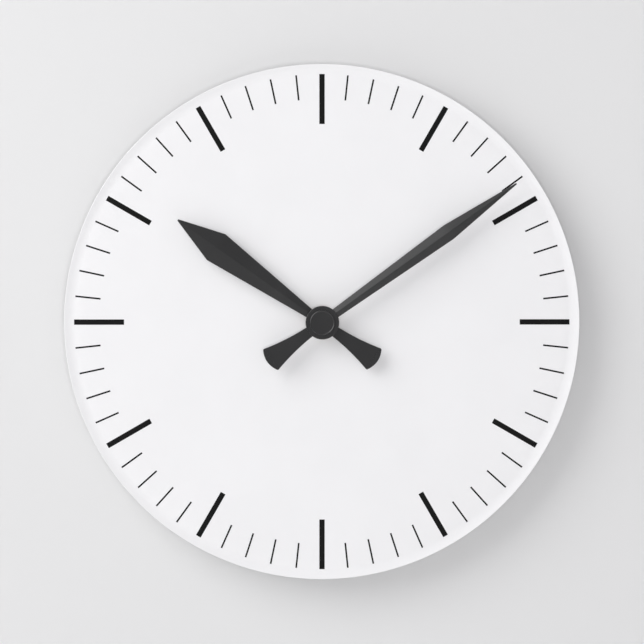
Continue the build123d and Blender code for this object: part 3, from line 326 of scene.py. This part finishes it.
# ------------------------------------------------------------------ shared effects
def new_group(name, inputs, outputs):
    """A shader node group with named inputs (name: default) and float outputs."""
    tree = bpy.data.node_groups.new(name, "ShaderNodeTree")
    for label, default in inputs.items():
        kind = "NodeSocketVector" if default is None else "NodeSocketFloat"
        socket = tree.interface.new_socket(name=label, in_out="INPUT", socket_type=kind)
        if default is not None:
            socket.default_value = default
    for label in outputs:
        tree.interface.new_socket(name=label, in_out="OUTPUT", socket_type="NodeSocketFloat")
    return tree, tree.nodes.new("NodeGroupInput"), tree.nodes.new("NodeGroupOutput")


def math_node(tree, operation, *values):
    """A math node fed by sockets or numbers; returns its output."""
    node = tree.nodes.new("ShaderNodeMath")
    node.operation = operation
    for socket, value in zip(node.inputs, values):
        if isinstance(value, bpy.types.NodeSocket):
            tree.links.new(value, socket)
        else:
            socket.default_value = value
    return node.outputs[0]


def ramp(tree, value, low, high, to_low=0.0, to_high=1.0):
    """Smoothly maps a value from one range to another; returns the output."""
    node = tree.nodes.new("ShaderNodeMapRange")
    node.interpolation_type = "SMOOTHSTEP"
    for index, number_in in enumerate((low, high, to_low, to_high), 1):
        if isinstance(number_in, bpy.types.NodeSocket):
            tree.links.new(number_in, node.inputs[index])
        else:
            node.inputs[index].default_value = number_in
    tree.links.new(value, node.inputs[0])
    return node.outputs[0]


def noise(tree, coordinates, scale, detail=2.0, roughness=0.5):
    """A noise texture on given coordinates; scale may be a socket. Returns the value output."""
    node = tree.nodes.new("ShaderNodeTexNoise")
    node.inputs["Detail"].default_value = detail
    node.inputs["Roughness"].default_value = roughness
    tree.links.new(coordinates, node.inputs["Vector"])
    if isinstance(scale, bpy.types.NodeSocket):
        tree.links.new(scale, node.inputs["Scale"])
    else:
        node.inputs["Scale"].default_value = scale
    return node.outputs[0]


def stretched(tree, coordinates, factors):
    """Coordinates scaled differently along the three axes."""
    node = tree.nodes.new("ShaderNodeMapping")
    node.inputs["Scale"].default_value = factors
    tree.links.new(coordinates, node.inputs["Vector"])
    return node.outputs[0]


def moulded_group():
    """Moulded plastic: a fine pebbled skin and broad soft waves where the melt flowed."""
    tree, given, result = new_group(
        "Moulded skin", {"Coordinates": None, "Grain per metre": 4000.0}, ["Height", "Flow"]
    )
    fine = noise(tree, given.outputs[0], given.outputs[1], 2.0, 0.6)
    flow = noise(tree, given.outputs[0], 28.0, 2.0)
    fine_share, flow_share = math_node(tree, "MULTIPLY", fine, 0.8), math_node(tree, "MULTIPLY", flow, 0.6)
    tree.links.new(math_node(tree, "ADD", fine_share, flow_share), result.inputs[0])
    tree.links.new(ramp(tree, flow, 0.3, 0.7), result.inputs[1])
    return tree


def handled_group():
    """Handling: faint smears where a cloth or a thumb has passed, and sparse specks of dust."""
    tree, given, result = new_group(
        "Handling", {"Coordinates": None, "Smears per metre": 30.0, "Dust": 0.5}, ["Smears", "Dust specks"]
    )
    broad = noise(tree, given.outputs[0], given.outputs[1], 3.0, 0.6)
    streaks = noise(tree, stretched(tree, given.outputs[0], (40, 40, 9)), 6.0, 3.0, 0.55)
    smears = math_node(tree, "MULTIPLY", ramp(tree, broad, 0.42, 0.72), ramp(tree, streaks, 0.35, 0.75))
    cells = tree.nodes.new("ShaderNodeTexVoronoi")
    cells.inputs["Scale"].default_value = 420.0
    tree.links.new(given.outputs[0], cells.inputs["Vector"])
    spread = ramp(tree, noise(tree, given.outputs[0], 55.0, 2.0), 0.45, 0.75)
    specks = math_node(tree, "MULTIPLY", ramp(tree, cells.outputs["Distance"], 0.1, 0.03), spread)
    tree.links.new(smears, result.inputs[0])
    tree.links.new(math_node(tree, "MULTIPLY", specks, given.outputs[2]), result.inputs[1])
    return tree


def brushed_group():
    """Brushed or drawn metal: long fine scratches along Z, with a few deeper ones."""
    tree, given, result = new_group(
        "Brushed metal", {"Coordinates": None, "Lines per metre": 6000.0}, ["Height", "Streaks"]
    )
    lines = noise(tree, stretched(tree, given.outputs[0], (1, 1, 0.02)), given.outputs[1], 2.0, 0.6)
    deep = ramp(tree, noise(tree, stretched(tree, given.outputs[0], (1, 1, 0.05)), 1400.0, 1.0), 0.66, 0.74)
    scratched = math_node(tree, "SUBTRACT", lines, math_node(tree, "MULTIPLY", deep, 0.5))
    tree.links.new(scratched, result.inputs[0])
    tree.links.new(ramp(tree, lines, 0.3, 0.7), result.inputs[1])
    return tree


def lathe_group():
    """Turned metal: fine rings round the hand axis, from the distance to it, broken up by noise."""
    tree, given, result = new_group(
        "Turned rings", {"Coordinates": None, "Rings per metre": 9000.0}, ["Height", "Tarnish"]
    )
    split = tree.nodes.new("ShaderNodeSeparateXYZ")
    tree.links.new(given.outputs[0], split.inputs[0])
    x, z = split.outputs["X"], split.outputs["Z"]
    squares = math_node(tree, "MULTIPLY", x, x), math_node(tree, "MULTIPLY", z, z)
    radius = math_node(tree, "SQRT", math_node(tree, "ADD", *squares))
    blur = noise(tree, given.outputs[0], 500.0, 2.0)
    rings = math_node(tree, "MULTIPLY", radius, given.outputs[1])
    blurred = math_node(tree, "MULTIPLY", blur, 4.0)
    wave = math_node(tree, "SINE", math_node(tree, "ADD", rings, blurred))
    tree.links.new(math_node(tree, "MULTIPLY_ADD", wave, 0.5, 0.5), result.inputs[0])
    tree.links.new(ramp(tree, noise(tree, given.outputs[0], 260.0, 4.0), 0.45, 0.8), result.inputs[1])
    return tree


def printed_group():
    """Screen-printed ink: a slightly lumpy surface and sparse thin spots, from two scales of noise."""
    tree, given, result = new_group(
        "Printed ink", {"Coordinates": None, "Mesh per metre": 5200.0}, ["Height", "Thin spots"]
    )
    mesh_marks = noise(tree, given.outputs[0], given.outputs[1], 1.0)
    tree.links.new(mesh_marks, result.inputs[0])
    tree.links.new(ramp(tree, noise(tree, given.outputs[0], 900.0, 3.0, 0.6), 0.58, 0.78), result.inputs[1])
    return tree


def wound_group():
    """Wound wire: turns side by side along X, as a rectified sine with a little wander, with painted shade in
    the grooves between the turns.
    """
    tree, given, result = new_group(
        "Wound wire", {"Coordinates": None, "Turns per metre": 26000.0}, ["Height", "Painted gap shade"]
    )
    split = tree.nodes.new("ShaderNodeSeparateXYZ")
    tree.links.new(given.outputs[0], split.inputs[0])
    wander = noise(tree, given.outputs[0], 300.0, 2.0)
    lay = math_node(tree, "MULTIPLY", split.outputs["X"], given.outputs[1])
    stray = math_node(tree, "MULTIPLY", wander, 3.0)
    turns = math_node(tree, "ABSOLUTE", math_node(tree, "SINE", math_node(tree, "ADD", lay, stray)))
    tree.links.new(turns, result.inputs[0])
    # painted shade: this mask is full in the grooves between the turns, where the finish darkens the copper
    tree.links.new(ramp(tree, turns, 0.35, 0.0), result.inputs[1])
    return tree


EFFECTS = {
    "moulded": moulded_group(),
    "handled": handled_group(),
    "brushed": brushed_group(),
    "turned": lathe_group(),
    "printed": printed_group(),
    "wound": wound_group(),
}


# ------------------------------------------------------------------ finishes
def mixed(tree, factor, first, second):
    """A colour mix whose two ends are colours or sockets; returns the output."""
    node = tree.nodes.new("ShaderNodeMix")
    node.data_type = "RGBA"
    tree.links.new(factor, node.inputs["Factor"])
    for socket, value in ((node.inputs[6], first), (node.inputs[7], second)):
        if isinstance(value, bpy.types.NodeSocket):
            tree.links.new(value, socket)
        else:
            socket.default_value = (*value[:3], 1.0)
    return node.outputs[2]


def effect(tree, kind, coordinates, *settings):
    """Places a shared effect in a material and sets its inputs."""
    node = tree.nodes.new("ShaderNodeGroup")
    node.node_tree = EFFECTS[kind]
    tree.links.new(coordinates, node.inputs[0])
    for socket, value in zip(list(node.inputs)[1:], settings):
        socket.default_value = value
    return node.outputs


def finish(
    name, base, second, rough, pattern, pitch, bump, metallic=0.0, specular=0.5, coat=0.0, dust=0.4,
    smears=30.0, dust_colour=(0.5, 0.49, 0.47),
):
    """A surface finish: a pattern for colour and relief, smears for roughness, and dust.

    The pattern's mask mixes the two base colours. Smears move the roughness between the two given values.
    """
    material = bpy.data.materials.new(name)
    material.use_nodes = True
    tree = material.node_tree
    shader = tree.nodes["Principled BSDF"]
    where = tree.nodes.new("ShaderNodeTexCoord").outputs["Object"]
    relief, mask = list(effect(tree, pattern, where, pitch))[:2]
    smear, specks = list(effect(tree, "handled", where, smears, dust))[:2]
    clean = mixed(tree, mask, base, second)
    tree.links.new(mixed(tree, specks, clean, dust_colour), shader.inputs["Base Color"])
    smear_share, mask_share = math_node(tree, "MULTIPLY", smear, 0.7), math_node(tree, "MULTIPLY", mask, 0.3)
    uneven = math_node(tree, "ADD", smear_share, mask_share)
    tree.links.new(ramp(tree, uneven, 0.0, 1.0, *rough), shader.inputs["Roughness"])
    lift = tree.nodes.new("ShaderNodeBump")
    lift.inputs["Distance"].default_value = bump
    lift.inputs["Strength"].default_value = 1.0
    tree.links.new(relief, lift.inputs["Height"])
    tree.links.new(lift.outputs[0], shader.inputs["Normal"])
    shader.inputs["Metallic"].default_value = metallic
    shader.inputs["Specular IOR Level"].default_value = specular
    shader.inputs["Coat Weight"].default_value = coat
    shader.inputs["Coat Roughness"].default_value = 0.08
    return material


def dial_finish(settings):
    """White acrylic: polished, with a long soft orange peel, faint smears and a few dust specks."""
    base = tuple(settings.face_colour)
    shade = tuple(0.985 * c for c in base)
    return finish(
        "white_acrylic_finish", base, shade, (0.235, 0.255), "moulded", 140.0, 0.00004,
        dust=0.1, smears=14.0, dust_colour=(0.7, 0.69, 0.67),
    )


def ink_finish(settings):
    """Matt black screen ink."""
    ink = tuple(settings.ink_colour)
    return finish(
        "black_ink_finish", ink, tuple(c + 0.004 for c in ink), (0.55, 0.7), "printed", 5200.0, 0.00001,
        specular=0.25, dust=0.15,
    )


def hand_finish(settings):
    """Satin black plastic of the hands, very finely pebbled."""
    base = tuple(settings.colour)
    return finish(
        "hand_plastic_finish", base, tuple(1.2 * c for c in base), (0.28, 0.38), "moulded", 7000.0, 0.000006,
        specular=0.72, dust=0.15, smears=60.0, dust_colour=(0.22, 0.22, 0.22),
    )


def other_finishes(settings):
    """The finishes of the movement and its cell, by the name of the record's slot."""
    case = tuple(settings.colour)
    natural, cream = (0.72, 0.71, 0.67), (0.78, 0.77, 0.74)
    steel, pale = (0.5, 0.5, 0.51), (0.62, 0.62, 0.63)
    values = {
        "case_plastic": (case, tuple(1.7 * c for c in case), (0.42, 0.6), "moulded", 3800.0, 0.00005),
        "bridge_plastic": (natural, cream, (0.4, 0.55), "moulded", 3000.0, 0.00003),
        "gear_plastic": ((0.8, 0.79, 0.75), (0.86, 0.85, 0.82), (0.35, 0.5), "moulded", 5000.0, 0.00002),
        "bobbin_plastic": ((0.62, 0.58, 0.42), (0.7, 0.66, 0.5), (0.4, 0.5), "moulded", 3000.0, 0.00003),
        "black_rubber": ((0.012, 0.012, 0.012), (0.03, 0.03, 0.029), (0.7, 0.85), "moulded", 2600.0, 0.00006),
        "brass": ((0.78, 0.55, 0.2), (0.55, 0.36, 0.13), (0.2, 0.4), "turned", 30000.0, 0.00001, 1.0),
        "steel": (steel, pale, (0.22, 0.38), "brushed", 6000.0, 0.00001, 1.0),
        "nickel": ((0.66, 0.64, 0.59), (0.74, 0.72, 0.67), (0.14, 0.32), "brushed", 5000.0, 0.000006, 1.0),
        "iron": ((0.3, 0.3, 0.3), (0.42, 0.41, 0.4), (0.4, 0.6), "brushed", 4000.0, 0.00001, 1.0),
        "magnet": ((0.09, 0.09, 0.095), (0.14, 0.14, 0.14), (0.4, 0.55), "moulded", 6000.0, 0.00002, 0.6),
        "board": ((0.3, 0.17, 0.05), (0.38, 0.24, 0.09), (0.4, 0.55), "printed", 2600.0, 0.00003),
        "resin": ((0.006, 0.006, 0.006), (0.02, 0.02, 0.02), (0.08, 0.2), "moulded", 600.0, 0.00004),
        # the copper's darker second colour is painted shade in the grooves between the wire's turns
        "copper": ((0.75, 0.27, 0.1), (0.3, 0.07, 0.02), (0.2, 0.34), "wound", 26000.0, 0.00004, 1.0),
    }
    return {slot: finish(slot + "_finish", *value) for slot, value in values.items()}


def label_finish(settings):
    """Shrink sleeve of the cell: one plain colour, a pale band at the positive end, glossy film."""
    label, band = tuple(settings.cell_colour), tuple(settings.cell_band)
    material = finish(
        "battery_label_finish", label, tuple(1.2 * c for c in label), (0.16, 0.3), "moulded", 900.0, 0.00003,
        coat=0.4, smears=90.0,
    )
    tree = material.node_tree
    shader = tree.nodes["Principled BSDF"]
    plain = shader.inputs["Base Color"].links[0].from_socket
    split = tree.nodes.new("ShaderNodeSeparateXYZ")
    tree.links.new(next(n for n in tree.nodes if n.type == "TEX_COORD").outputs["Object"], split.inputs[0])
    lo, hi = (corner.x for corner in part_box("battery_sleeve"))
    edge = lo + 0.3 * (hi - lo)
    banded = mixed(tree, ramp(tree, split.outputs["X"], edge, edge - 0.2 * MM), plain, band)
    tree.links.new(banded, shader.inputs["Base Color"])
    return material


# ------------------------------------------------------------------ dial
def front_line(settings):
    """Radius and depth along the dial's front: flat, a shoulder, a soft valley and a lip with a round edge."""
    corners = [
        (settings.hole, settings.front),
        (settings.fall, settings.front),
        (settings.valley, settings.valley_depth),
        (settings.radius, settings.lip_depth),
        (settings.radius, settings.rear),
        (settings.radius - 2 * MM, settings.rear),
    ]
    return rounded(corners, [2.6 * MM, 2.24 * MM, 0.4 * MM, 0.45 * MM], 14)


def face_depth(settings, radius):
    """Depth of the dial's front at a radius."""
    chain = front_line(settings)[:30]
    return np.interp(radius, chain[:, 0], chain[:, 1])


def dial_surface(settings):
    """The plate: one closed profile of face, valley, rounded lip, edge and back, turned about the hand axis."""
    chain = front_line(settings)
    steps = np.linspace(settings.hole, settings.fall - 2.6 * MM, 9)[1:-1]
    flat = np.stack([steps, np.full_like(steps, settings.front)], -1)
    bore = [(settings.hole, settings.rear)]
    return turned(np.vstack([chain[:1], flat, chain[1:], bore]), segments=512, closed=True)


def bars(settings, angles, bar_length, width):
    """Printed bars that lie on the face along radii.

    Across each bar the ink rises over a rounded shoulder to its full thickness; along it the ink follows the
    depth of the face. A point at radius r and offset w goes to (r, w) turned by the bar's angle.
    """
    half, ink = width / 2, settings.ink
    soft = min(0.06 * MM, half / 3)
    across = np.array([-half, -half, -half + soft, half - soft, half, half])
    height = np.array([-0.04 * MM, 0.6 * ink, ink, ink, 0.6 * ink, -0.04 * MM])
    along = np.linspace(settings.mark_end - bar_length, settings.mark_end, 7)
    a, r, w = np.meshgrid(angles, along, across, indexing="ij")
    depth = face_depth(settings, r) + height[None, None, :]
    x = r * np.sin(a) + w * np.cos(a)
    z = r * np.cos(a) - w * np.sin(a)
    vertices = np.stack([x, -depth, z], -1).reshape(-1, 3)
    size, faces = len(along) * len(across), []
    last = size - len(across)
    for start in range(0, size * len(angles), size):
        faces += grid_faces(len(along), len(across), start=start)
        faces += [[start + k for k in range(len(across))], [start + last + k for k in range(len(across))]]
    return vertices, faces


class CLOCK_OT_dial(bpy.types.Operator):
    """Builds the dial plate and its printed marks"""

    bl_idname = "clock.dial"
    bl_label = "Dial"

    def execute(self, context):
        settings = context.scene.clock_dial
        acrylic = dial_finish(settings)
        piece("dial_face", dial_surface(settings), acrylic, ["dial_plate"], 32.0)
        ink = ink_finish(settings)
        ticks = np.arange(60)
        turn = np.radians(6.0 * ticks)
        hours, minutes = turn[ticks % 5 == 0], turn[ticks % 5 != 0]
        hour_shell = bars(settings, hours, settings.hour_length, settings.hour_width)
        piece("hour_bars", hour_shell, ink, ["hour_marks"])
        minute_shell = bars(settings, minutes, settings.minute_length, settings.minute_width)
        piece("minute_bars", minute_shell, ink, ["minute_marks"])
        return {"FINISHED"}


# ------------------------------------------------------------------ hands
def blade_surface(outline, base, edge, slope, softness):
    """A blade with a flat underside, low sides and a roof of two facets that meet in a ridge.

    At distance s along the blade, with half width w(s), the section runs from the underside round a softened
    corner, up the side to the height of the edge and then up the roof to the ridge, at edge + slope * w.
    """
    s, w = outline.T
    c = np.minimum(softness, 0.45 * w)
    k = np.minimum(1.1 * softness, 0.4 * w)
    zero, roof = np.zeros_like(s), edge + slope * w
    right = [
        (w - c, zero),
        (w - 0.3 * c, 0.3 * c),
        (w, c),
        (w, edge - 0.8 * c),
        (w - 0.28 * c, edge - 0.22 * c),
        (w - c, edge + slope * c),
        (k, roof - slope * k),
        (0.4 * k, roof - 0.55 * slope * k),
    ]
    left = [(-x, h) for x, h in reversed(right)]
    ring = [(zero, zero)] + right + [(zero, roof - 0.45 * slope * k)] + left
    x, h = (np.stack([point[index] for point in ring], -1) for index in (0, 1))
    vertices = np.stack([x, -(base + h), np.broadcast_to(s[:, None], x.shape)], -1).reshape(-1, 3)
    rows, columns = x.shape
    faces = grid_faces(rows, columns)
    faces += [list(range(columns)), list(range((rows - 1) * columns, rows * columns))]
    return vertices, faces


def plate_surface(outline, base, thickness, softness):
    """A flat bar with softened edges: a rounded edge profile carried round a closed outline.

    Each ring is the outline moved inwards along its normals; the flat faces fill the first and last rings.
    """
    ahead, behind = np.roll(outline, -1, 0), np.roll(outline, 1, 0)
    tangent = ahead - behind
    tangent /= np.linalg.norm(tangent, axis=1)[:, None]
    inward = np.stack([-tangent[:, 1], tangent[:, 0]], -1)
    area = 0.5 * np.sum(outline[:, 0] * ahead[:, 1] - ahead[:, 0] * outline[:, 1])
    inward *= 1 if area > 0 else -1
    c = softness
    profile = [
        (c, 0), (0.3 * c, 0.3 * c), (0, c),
        (0, thickness - 1.6 * c), (0.45 * c, thickness - 0.45 * c), (1.6 * c, thickness),
    ]
    inset, height = np.array(profile).T
    rings = outline[None] + inset[:, None, None] * inward[None]
    depth = np.broadcast_to(-(base + height)[:, None], rings.shape[:2])
    vertices = np.stack([rings[..., 0], depth, rings[..., 1]], -1).reshape(-1, 3)
    count = len(outline)
    last = (len(profile) - 1) * count
    faces = grid_faces(len(profile), count) + [list(range(count)), list(range(last, last + count))]
    return vertices, faces


def tail_outline():
    """Outline of the counterweight, pointing to 6 o'clock: concave sides, rounded corners, bowed end."""
    s = np.linspace(TAIL_ROOT, TAIL_SIDE_END, 16)
    beyond = s - TAIL_ROOT
    side = np.stack([TAIL_ROOT_HALF_WIDTH + beyond * TAIL_SPREAD + beyond**2 * TAIL_FLARE, -s], -1)
    corner = np.array([(TAIL_CORNER_HALF_WIDTH, -TAIL_CORNER)])
    t = np.linspace(0.88, 0, 8)
    bow = TAIL_END - TAIL_CORNER
    end = np.stack([TAIL_CORNER_HALF_WIDTH * t, -TAIL_END + bow * t**2], -1)
    turn = rounded(np.vstack([side[-1:], corner, end[:1]]), [TAIL_CORNER_ROUNDING], 5)
    half = np.vstack([side, turn[1:-1], end[:-1]])
    mirror = half[::-1] * (-1, 1)
    return np.vstack([half, [(0, -TAIL_END)], mirror]) * MM


def boss_surface(outer, bore, rear, front, round_front, round_bore):
    """A round boss with a bore: one closed profile turned about the hand axis."""
    corners = [(bore, rear), (outer, rear), (outer, front), (bore, front)]
    return turned(rounded_loop(corners, [0.05 * MM, 0.15 * MM, round_front, round_bore], 5), 160, closed=True)


def hand_shell(hand, base, settings):
    """Blade, tail and boss of one hand, pointing to 12 o'clock."""
    chain = rounded(np.array(hand["outline"]) * MM, [radius * MM for radius in hand["rounding"]], 8)
    blade = blade_surface(chain, base, settings.edge, hand["slope"], settings.softness)
    tail = plate_surface(tail_outline(), base, settings.tail, settings.softness)
    return joined(blade, tail, boss_surface(*(value * MM for value in hand["boss"])))


def cap_surface():
    """The snap-in cap: a flat disc, a narrow raised bead round its edge and a stepped underside."""
    corners = [(0.02, 34.44), (5.8, 34.44), (6.2, 34.6), (6.28, 34.6), (6.6, 34.43), (6.6, 33.5), (3.1, 33.5),
               (3.1, 33.1), (0.02, 33.1)]
    radii = np.array([0.08, 0.03, 0.03, 0.06, 0.05, 0, 0]) * MM
    return turned(rounded(np.array(corners) * MM, radii, 4), 160)


class CLOCK_OT_hands(bpy.types.Operator):
    """Builds the two faceted hands and the cap over the hub"""

    bl_idname = "clock.hands"
    bl_label = "Hands"

    def execute(self, context):
        settings = context.scene.clock_hands
        plastic = hand_finish(settings)
        places = {
            "hour": (settings.hour_base, settings.hour_angle),
            "minute": (settings.minute_base, settings.minute_angle),
        }
        for name, (base, turn) in places.items():
            vertices, faces = hand_shell(HANDS[name], base, settings)
            shell = swung(vertices, turn), faces
            flat_faces(piece(f"{name}_hand_moulding", shell, plastic, [f"{name}_hand"], 50.0))
        flat_faces(piece("hub_cap_moulding", cap_surface(), plastic, ["hub_cap"], 50.0))
        return {"FINISHED"}


# ------------------------------------------------------------------ movement
class CLOCK_OT_movement(bpy.types.Operator):
    """Finishes the case, the hanger, the dial's fixing, the gears and the motor"""

    bl_idname = "clock.movement"
    bl_label = "Movement"

    def execute(self, context):
        settings = context.scene.clock_case
        finishes = other_finishes(settings)
        slots = {part["node"]: part["material_slot"] for part in frame["record"]["subparts"]}
        for node, slot in slots.items():
            if slot in finishes:
                finish_nodes(finishes[slot], node)
        rounding = {
            "front_case": 1.0, "rear_cover": 1.0, "setting_knob": 0.6, "hanger_plate": 0.8, "dial_nut": 0.6,
        }
        for node, share in rounding.items():
            slot = slots[node]
            softened(node, node + "_finished", finishes[slot], share * settings.edge)
        return {"FINISHED"}


def along_cell(shell, depth, height):
    """A shell turned about the hand axis, laid along X at the cell's depth and height."""
    vertices, faces = shell
    x, y, z = vertices.T
    return np.stack([-y, x - depth, z + height], -1), faces


class CLOCK_OT_cell(bpy.types.Operator):
    """Builds the cell's can, sleeve and negative plate"""

    bl_idname = "clock.cell"
    bl_label = "Cell"

    def execute(self, context):
        settings = context.scene.clock_case
        lo, hi = (np.array(corner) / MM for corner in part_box("battery_sleeve"))
        depth, height, radius = -(lo[1] + hi[1]) / 2 * MM, (lo[2] + hi[2]) / 2 * MM, (hi[2] - lo[2]) / 2
        left, right = (corner.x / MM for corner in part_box("battery_can"))
        nickel = bpy.data.materials["nickel_finish"]
        can = np.array([
            (0.02, left), (2.75, left), (2.75, left + 1.4), (radius - 0.2, left + 1.4),
            (radius - 0.2, right), (6.2, right), (6.2, right - 0.45), (0.02, right - 0.45),
        ])
        shell = turned(rounded(can * MM, np.array([0.35, 0.25, 0.6, 0.3, 0.15, 0]) * MM, 5), 96)
        piece("cell_can", along_cell(shell, depth, height), nickel, ["battery_can"])
        start, end = lo[0], hi[0]
        sleeve = np.array([
            (5.6, start - 0.12), (radius, start), (radius, end), (radius - 0.7, end + 0.08),
            (radius - 0.7, end - 0.1), (radius - 0.19, end - 0.3), (radius - 0.19, start + 0.3),
            (5.6, start + 0.02),
        ])
        radii = np.array([0.03, 0.5, 0.4, 0.03, 0.03, 0.1, 0.1, 0.03]) * MM
        shell = along_cell(turned(rounded_loop(sleeve * MM, radii, 5), 96, closed=True), depth, height)
        piece("cell_sleeve", shell, label_finish(settings), ["battery_sleeve"])
        return {"FINISHED"}


# ------------------------------------------------------------------ stage
def one_sided(name, base):
    """Matt backdrop paint seen only from its front, so that the clock's back shows through it.

    Lights behind it reach the surfaces that are seen directly, but not those that only bounce light.
    """
    material = bpy.data.materials.new(name)
    material.use_nodes = True
    tree = material.node_tree
    shader = tree.nodes["Principled BSDF"]
    where = tree.nodes.new("ShaderNodeTexCoord").outputs["Object"]
    shade = ramp(tree, noise(tree, where, 3.0, 2.0), 0.3, 0.7)
    tree.links.new(mixed(tree, shade, base, tuple(0.985 * c for c in base)), shader.inputs["Base Color"])
    shader.inputs["Roughness"].default_value = 0.9
    shader.inputs["Specular IOR Level"].default_value = 0.1
    path = tree.nodes.new("ShaderNodeLightPath").outputs
    direct = math_node(tree, "LESS_THAN", path["Diffuse Depth"], 0.5)
    through = math_node(tree, "MULTIPLY", path["Is Shadow Ray"], direct)
    behind = tree.nodes.new("ShaderNodeNewGeometry").outputs["Backfacing"]
    clear = tree.nodes.new("ShaderNodeBsdfTransparent")
    choice = tree.nodes.new("ShaderNodeMixShader")
    tree.links.new(math_node(tree, "MAXIMUM", through, behind), choice.inputs[0])
    tree.links.new(shader.outputs[0], choice.inputs[1])
    tree.links.new(clear.outputs[0], choice.inputs[2])
    tree.links.new(choice.outputs[0], tree.nodes["Material Output"].inputs["Surface"])
    return material


def backdrop(name, corners, material):
    """A flat backdrop through four corners; its front is the side from which they run anticlockwise."""
    mesh = bpy.data.meshes.new(name)
    mesh.from_pydata(corners, [], [[0, 1, 2, 3]])
    mesh.materials.append(material)
    made = bpy.data.objects.new(name, mesh)
    bpy.context.scene.collection.objects.link(made)
    return made


def softbox(name, place, target, power, size, glossy=True):
    """A round soft light that faces a point and is itself unseen; without glossy it leaves no highlight."""
    data = bpy.data.lights.new(name, "AREA")
    data.shape, data.size, data.energy = "DISK", size, power
    light = bpy.data.objects.new(name, data)
    light.location = place
    light.rotation_euler = (Vector(target) - Vector(place)).to_track_quat("-Z", "Y").to_euler()
    light.visible_camera = False
    light.visible_glossy = glossy
    bpy.context.scene.collection.objects.link(light)
    return light


class CLOCK_OT_stage(bpy.types.Operator):
    """Builds the wall, the floor, the lights and the camera"""

    bl_idname = "clock.stage"
    bl_label = "Stage"

    def execute(self, context):
        settings = context.scene.clock_stage
        wall = one_sided("wall_paint", tuple(settings.wall_colour))
        floor = one_sided("floor_paint", tuple(settings.floor_colour))
        gap, reach, drop, near = 0.4 * MM, 2.0, -0.75, -3.5
        foot = [(-reach, gap, drop), (reach, gap, drop)]
        backdrop("wall", [*foot, (reach, gap, reach), (-reach, gap, reach)], wall)
        backdrop("floor", [(-reach, near, drop), (reach, near, drop), *reversed(foot)], floor)
        centre = (0, -0.02, 0)
        softbox("key_light", KEY_PLACE, centre, settings.key_power, settings.key_size)
        softbox("front_fill", FILL_PLACE, centre, settings.fill_power, 0.5, glossy=False)
        softbox("rear_left", REAR_LEFT_PLACE, centre, settings.rear_power, 0.9)
        softbox("rear_right", REAR_RIGHT_PLACE, centre, settings.rear_power * 0.6, 0.9)
        world = bpy.data.worlds.new("pale_surroundings")
        world.use_nodes = True
        world.node_tree.nodes["Background"].inputs["Color"].default_value = (0.975, 0.965, 1.0, 1.0)
        world.node_tree.nodes["Background"].inputs["Strength"].default_value = settings.world
        context.scene.world = world
        context.scene.view_settings.view_transform = "Standard"
        data = bpy.data.cameras.new("camera")
        place = Vector((-settings.camera_left, -settings.camera_distance, settings.camera_up))
        sight = Vector((0, -context.scene.clock_dial.front, 0)) - place
        data.lens = data.sensor_width * sight.length / settings.framed
        camera = bpy.data.objects.new("camera", data)
        camera.location = place
        camera.rotation_euler = sight.to_track_quat("-Z", "Y").to_euler()
        context.scene.collection.objects.link(camera)
        context.scene.camera = camera
        return {"FINISHED"}


class CLOCK_PT_panel(bpy.types.Panel):
    """Lists the clock's pieces in the sidebar"""

    bl_idname = "CLOCK_PT_panel"
    bl_label = "Wall clock"
    bl_space_type = "VIEW_3D"
    bl_region_type = "UI"
    bl_category = "Clock"

    def draw(self, context):
        for operator in OPERATORS:
            self.layout.operator(operator.bl_idname)
        for name in SETTINGS:
            group = getattr(context.scene, name)
            box = self.layout.box()
            for label in type(group).__annotations__:
                box.prop(group, label)


SETTINGS = {
    "clock_dial": ClockDialSettings,
    "clock_hands": ClockHandSettings,
    "clock_case": ClockCaseSettings,
    "clock_stage": ClockStageSettings,
}
OPERATORS = [CLOCK_OT_dial, CLOCK_OT_hands, CLOCK_OT_movement, CLOCK_OT_cell, CLOCK_OT_stage]


def register():
    """Adds the classes and the scene's settings."""
    for kind in [*SETTINGS.values(), *OPERATORS, CLOCK_PT_panel]:
        bpy.utils.register_class(kind)
    for name, kind in SETTINGS.items():
        setattr(bpy.types.Scene, name, PointerProperty(type=kind))


def unregister():
    """Removes them again."""
    for name in SETTINGS:
        delattr(bpy.types.Scene, name)
    for kind in reversed([*SETTINGS.values(), *OPERATORS, CLOCK_PT_panel]):
        bpy.utils.unregister_class(kind)


def main():
    """Builds the clock and its studio."""
    register()
    bpy.ops.clock.dial()
    bpy.ops.clock.hands()
    bpy.ops.clock.movement()
    bpy.ops.clock.cell()
    bpy.ops.clock.stage()


if __name__ == "__main__":
    main()
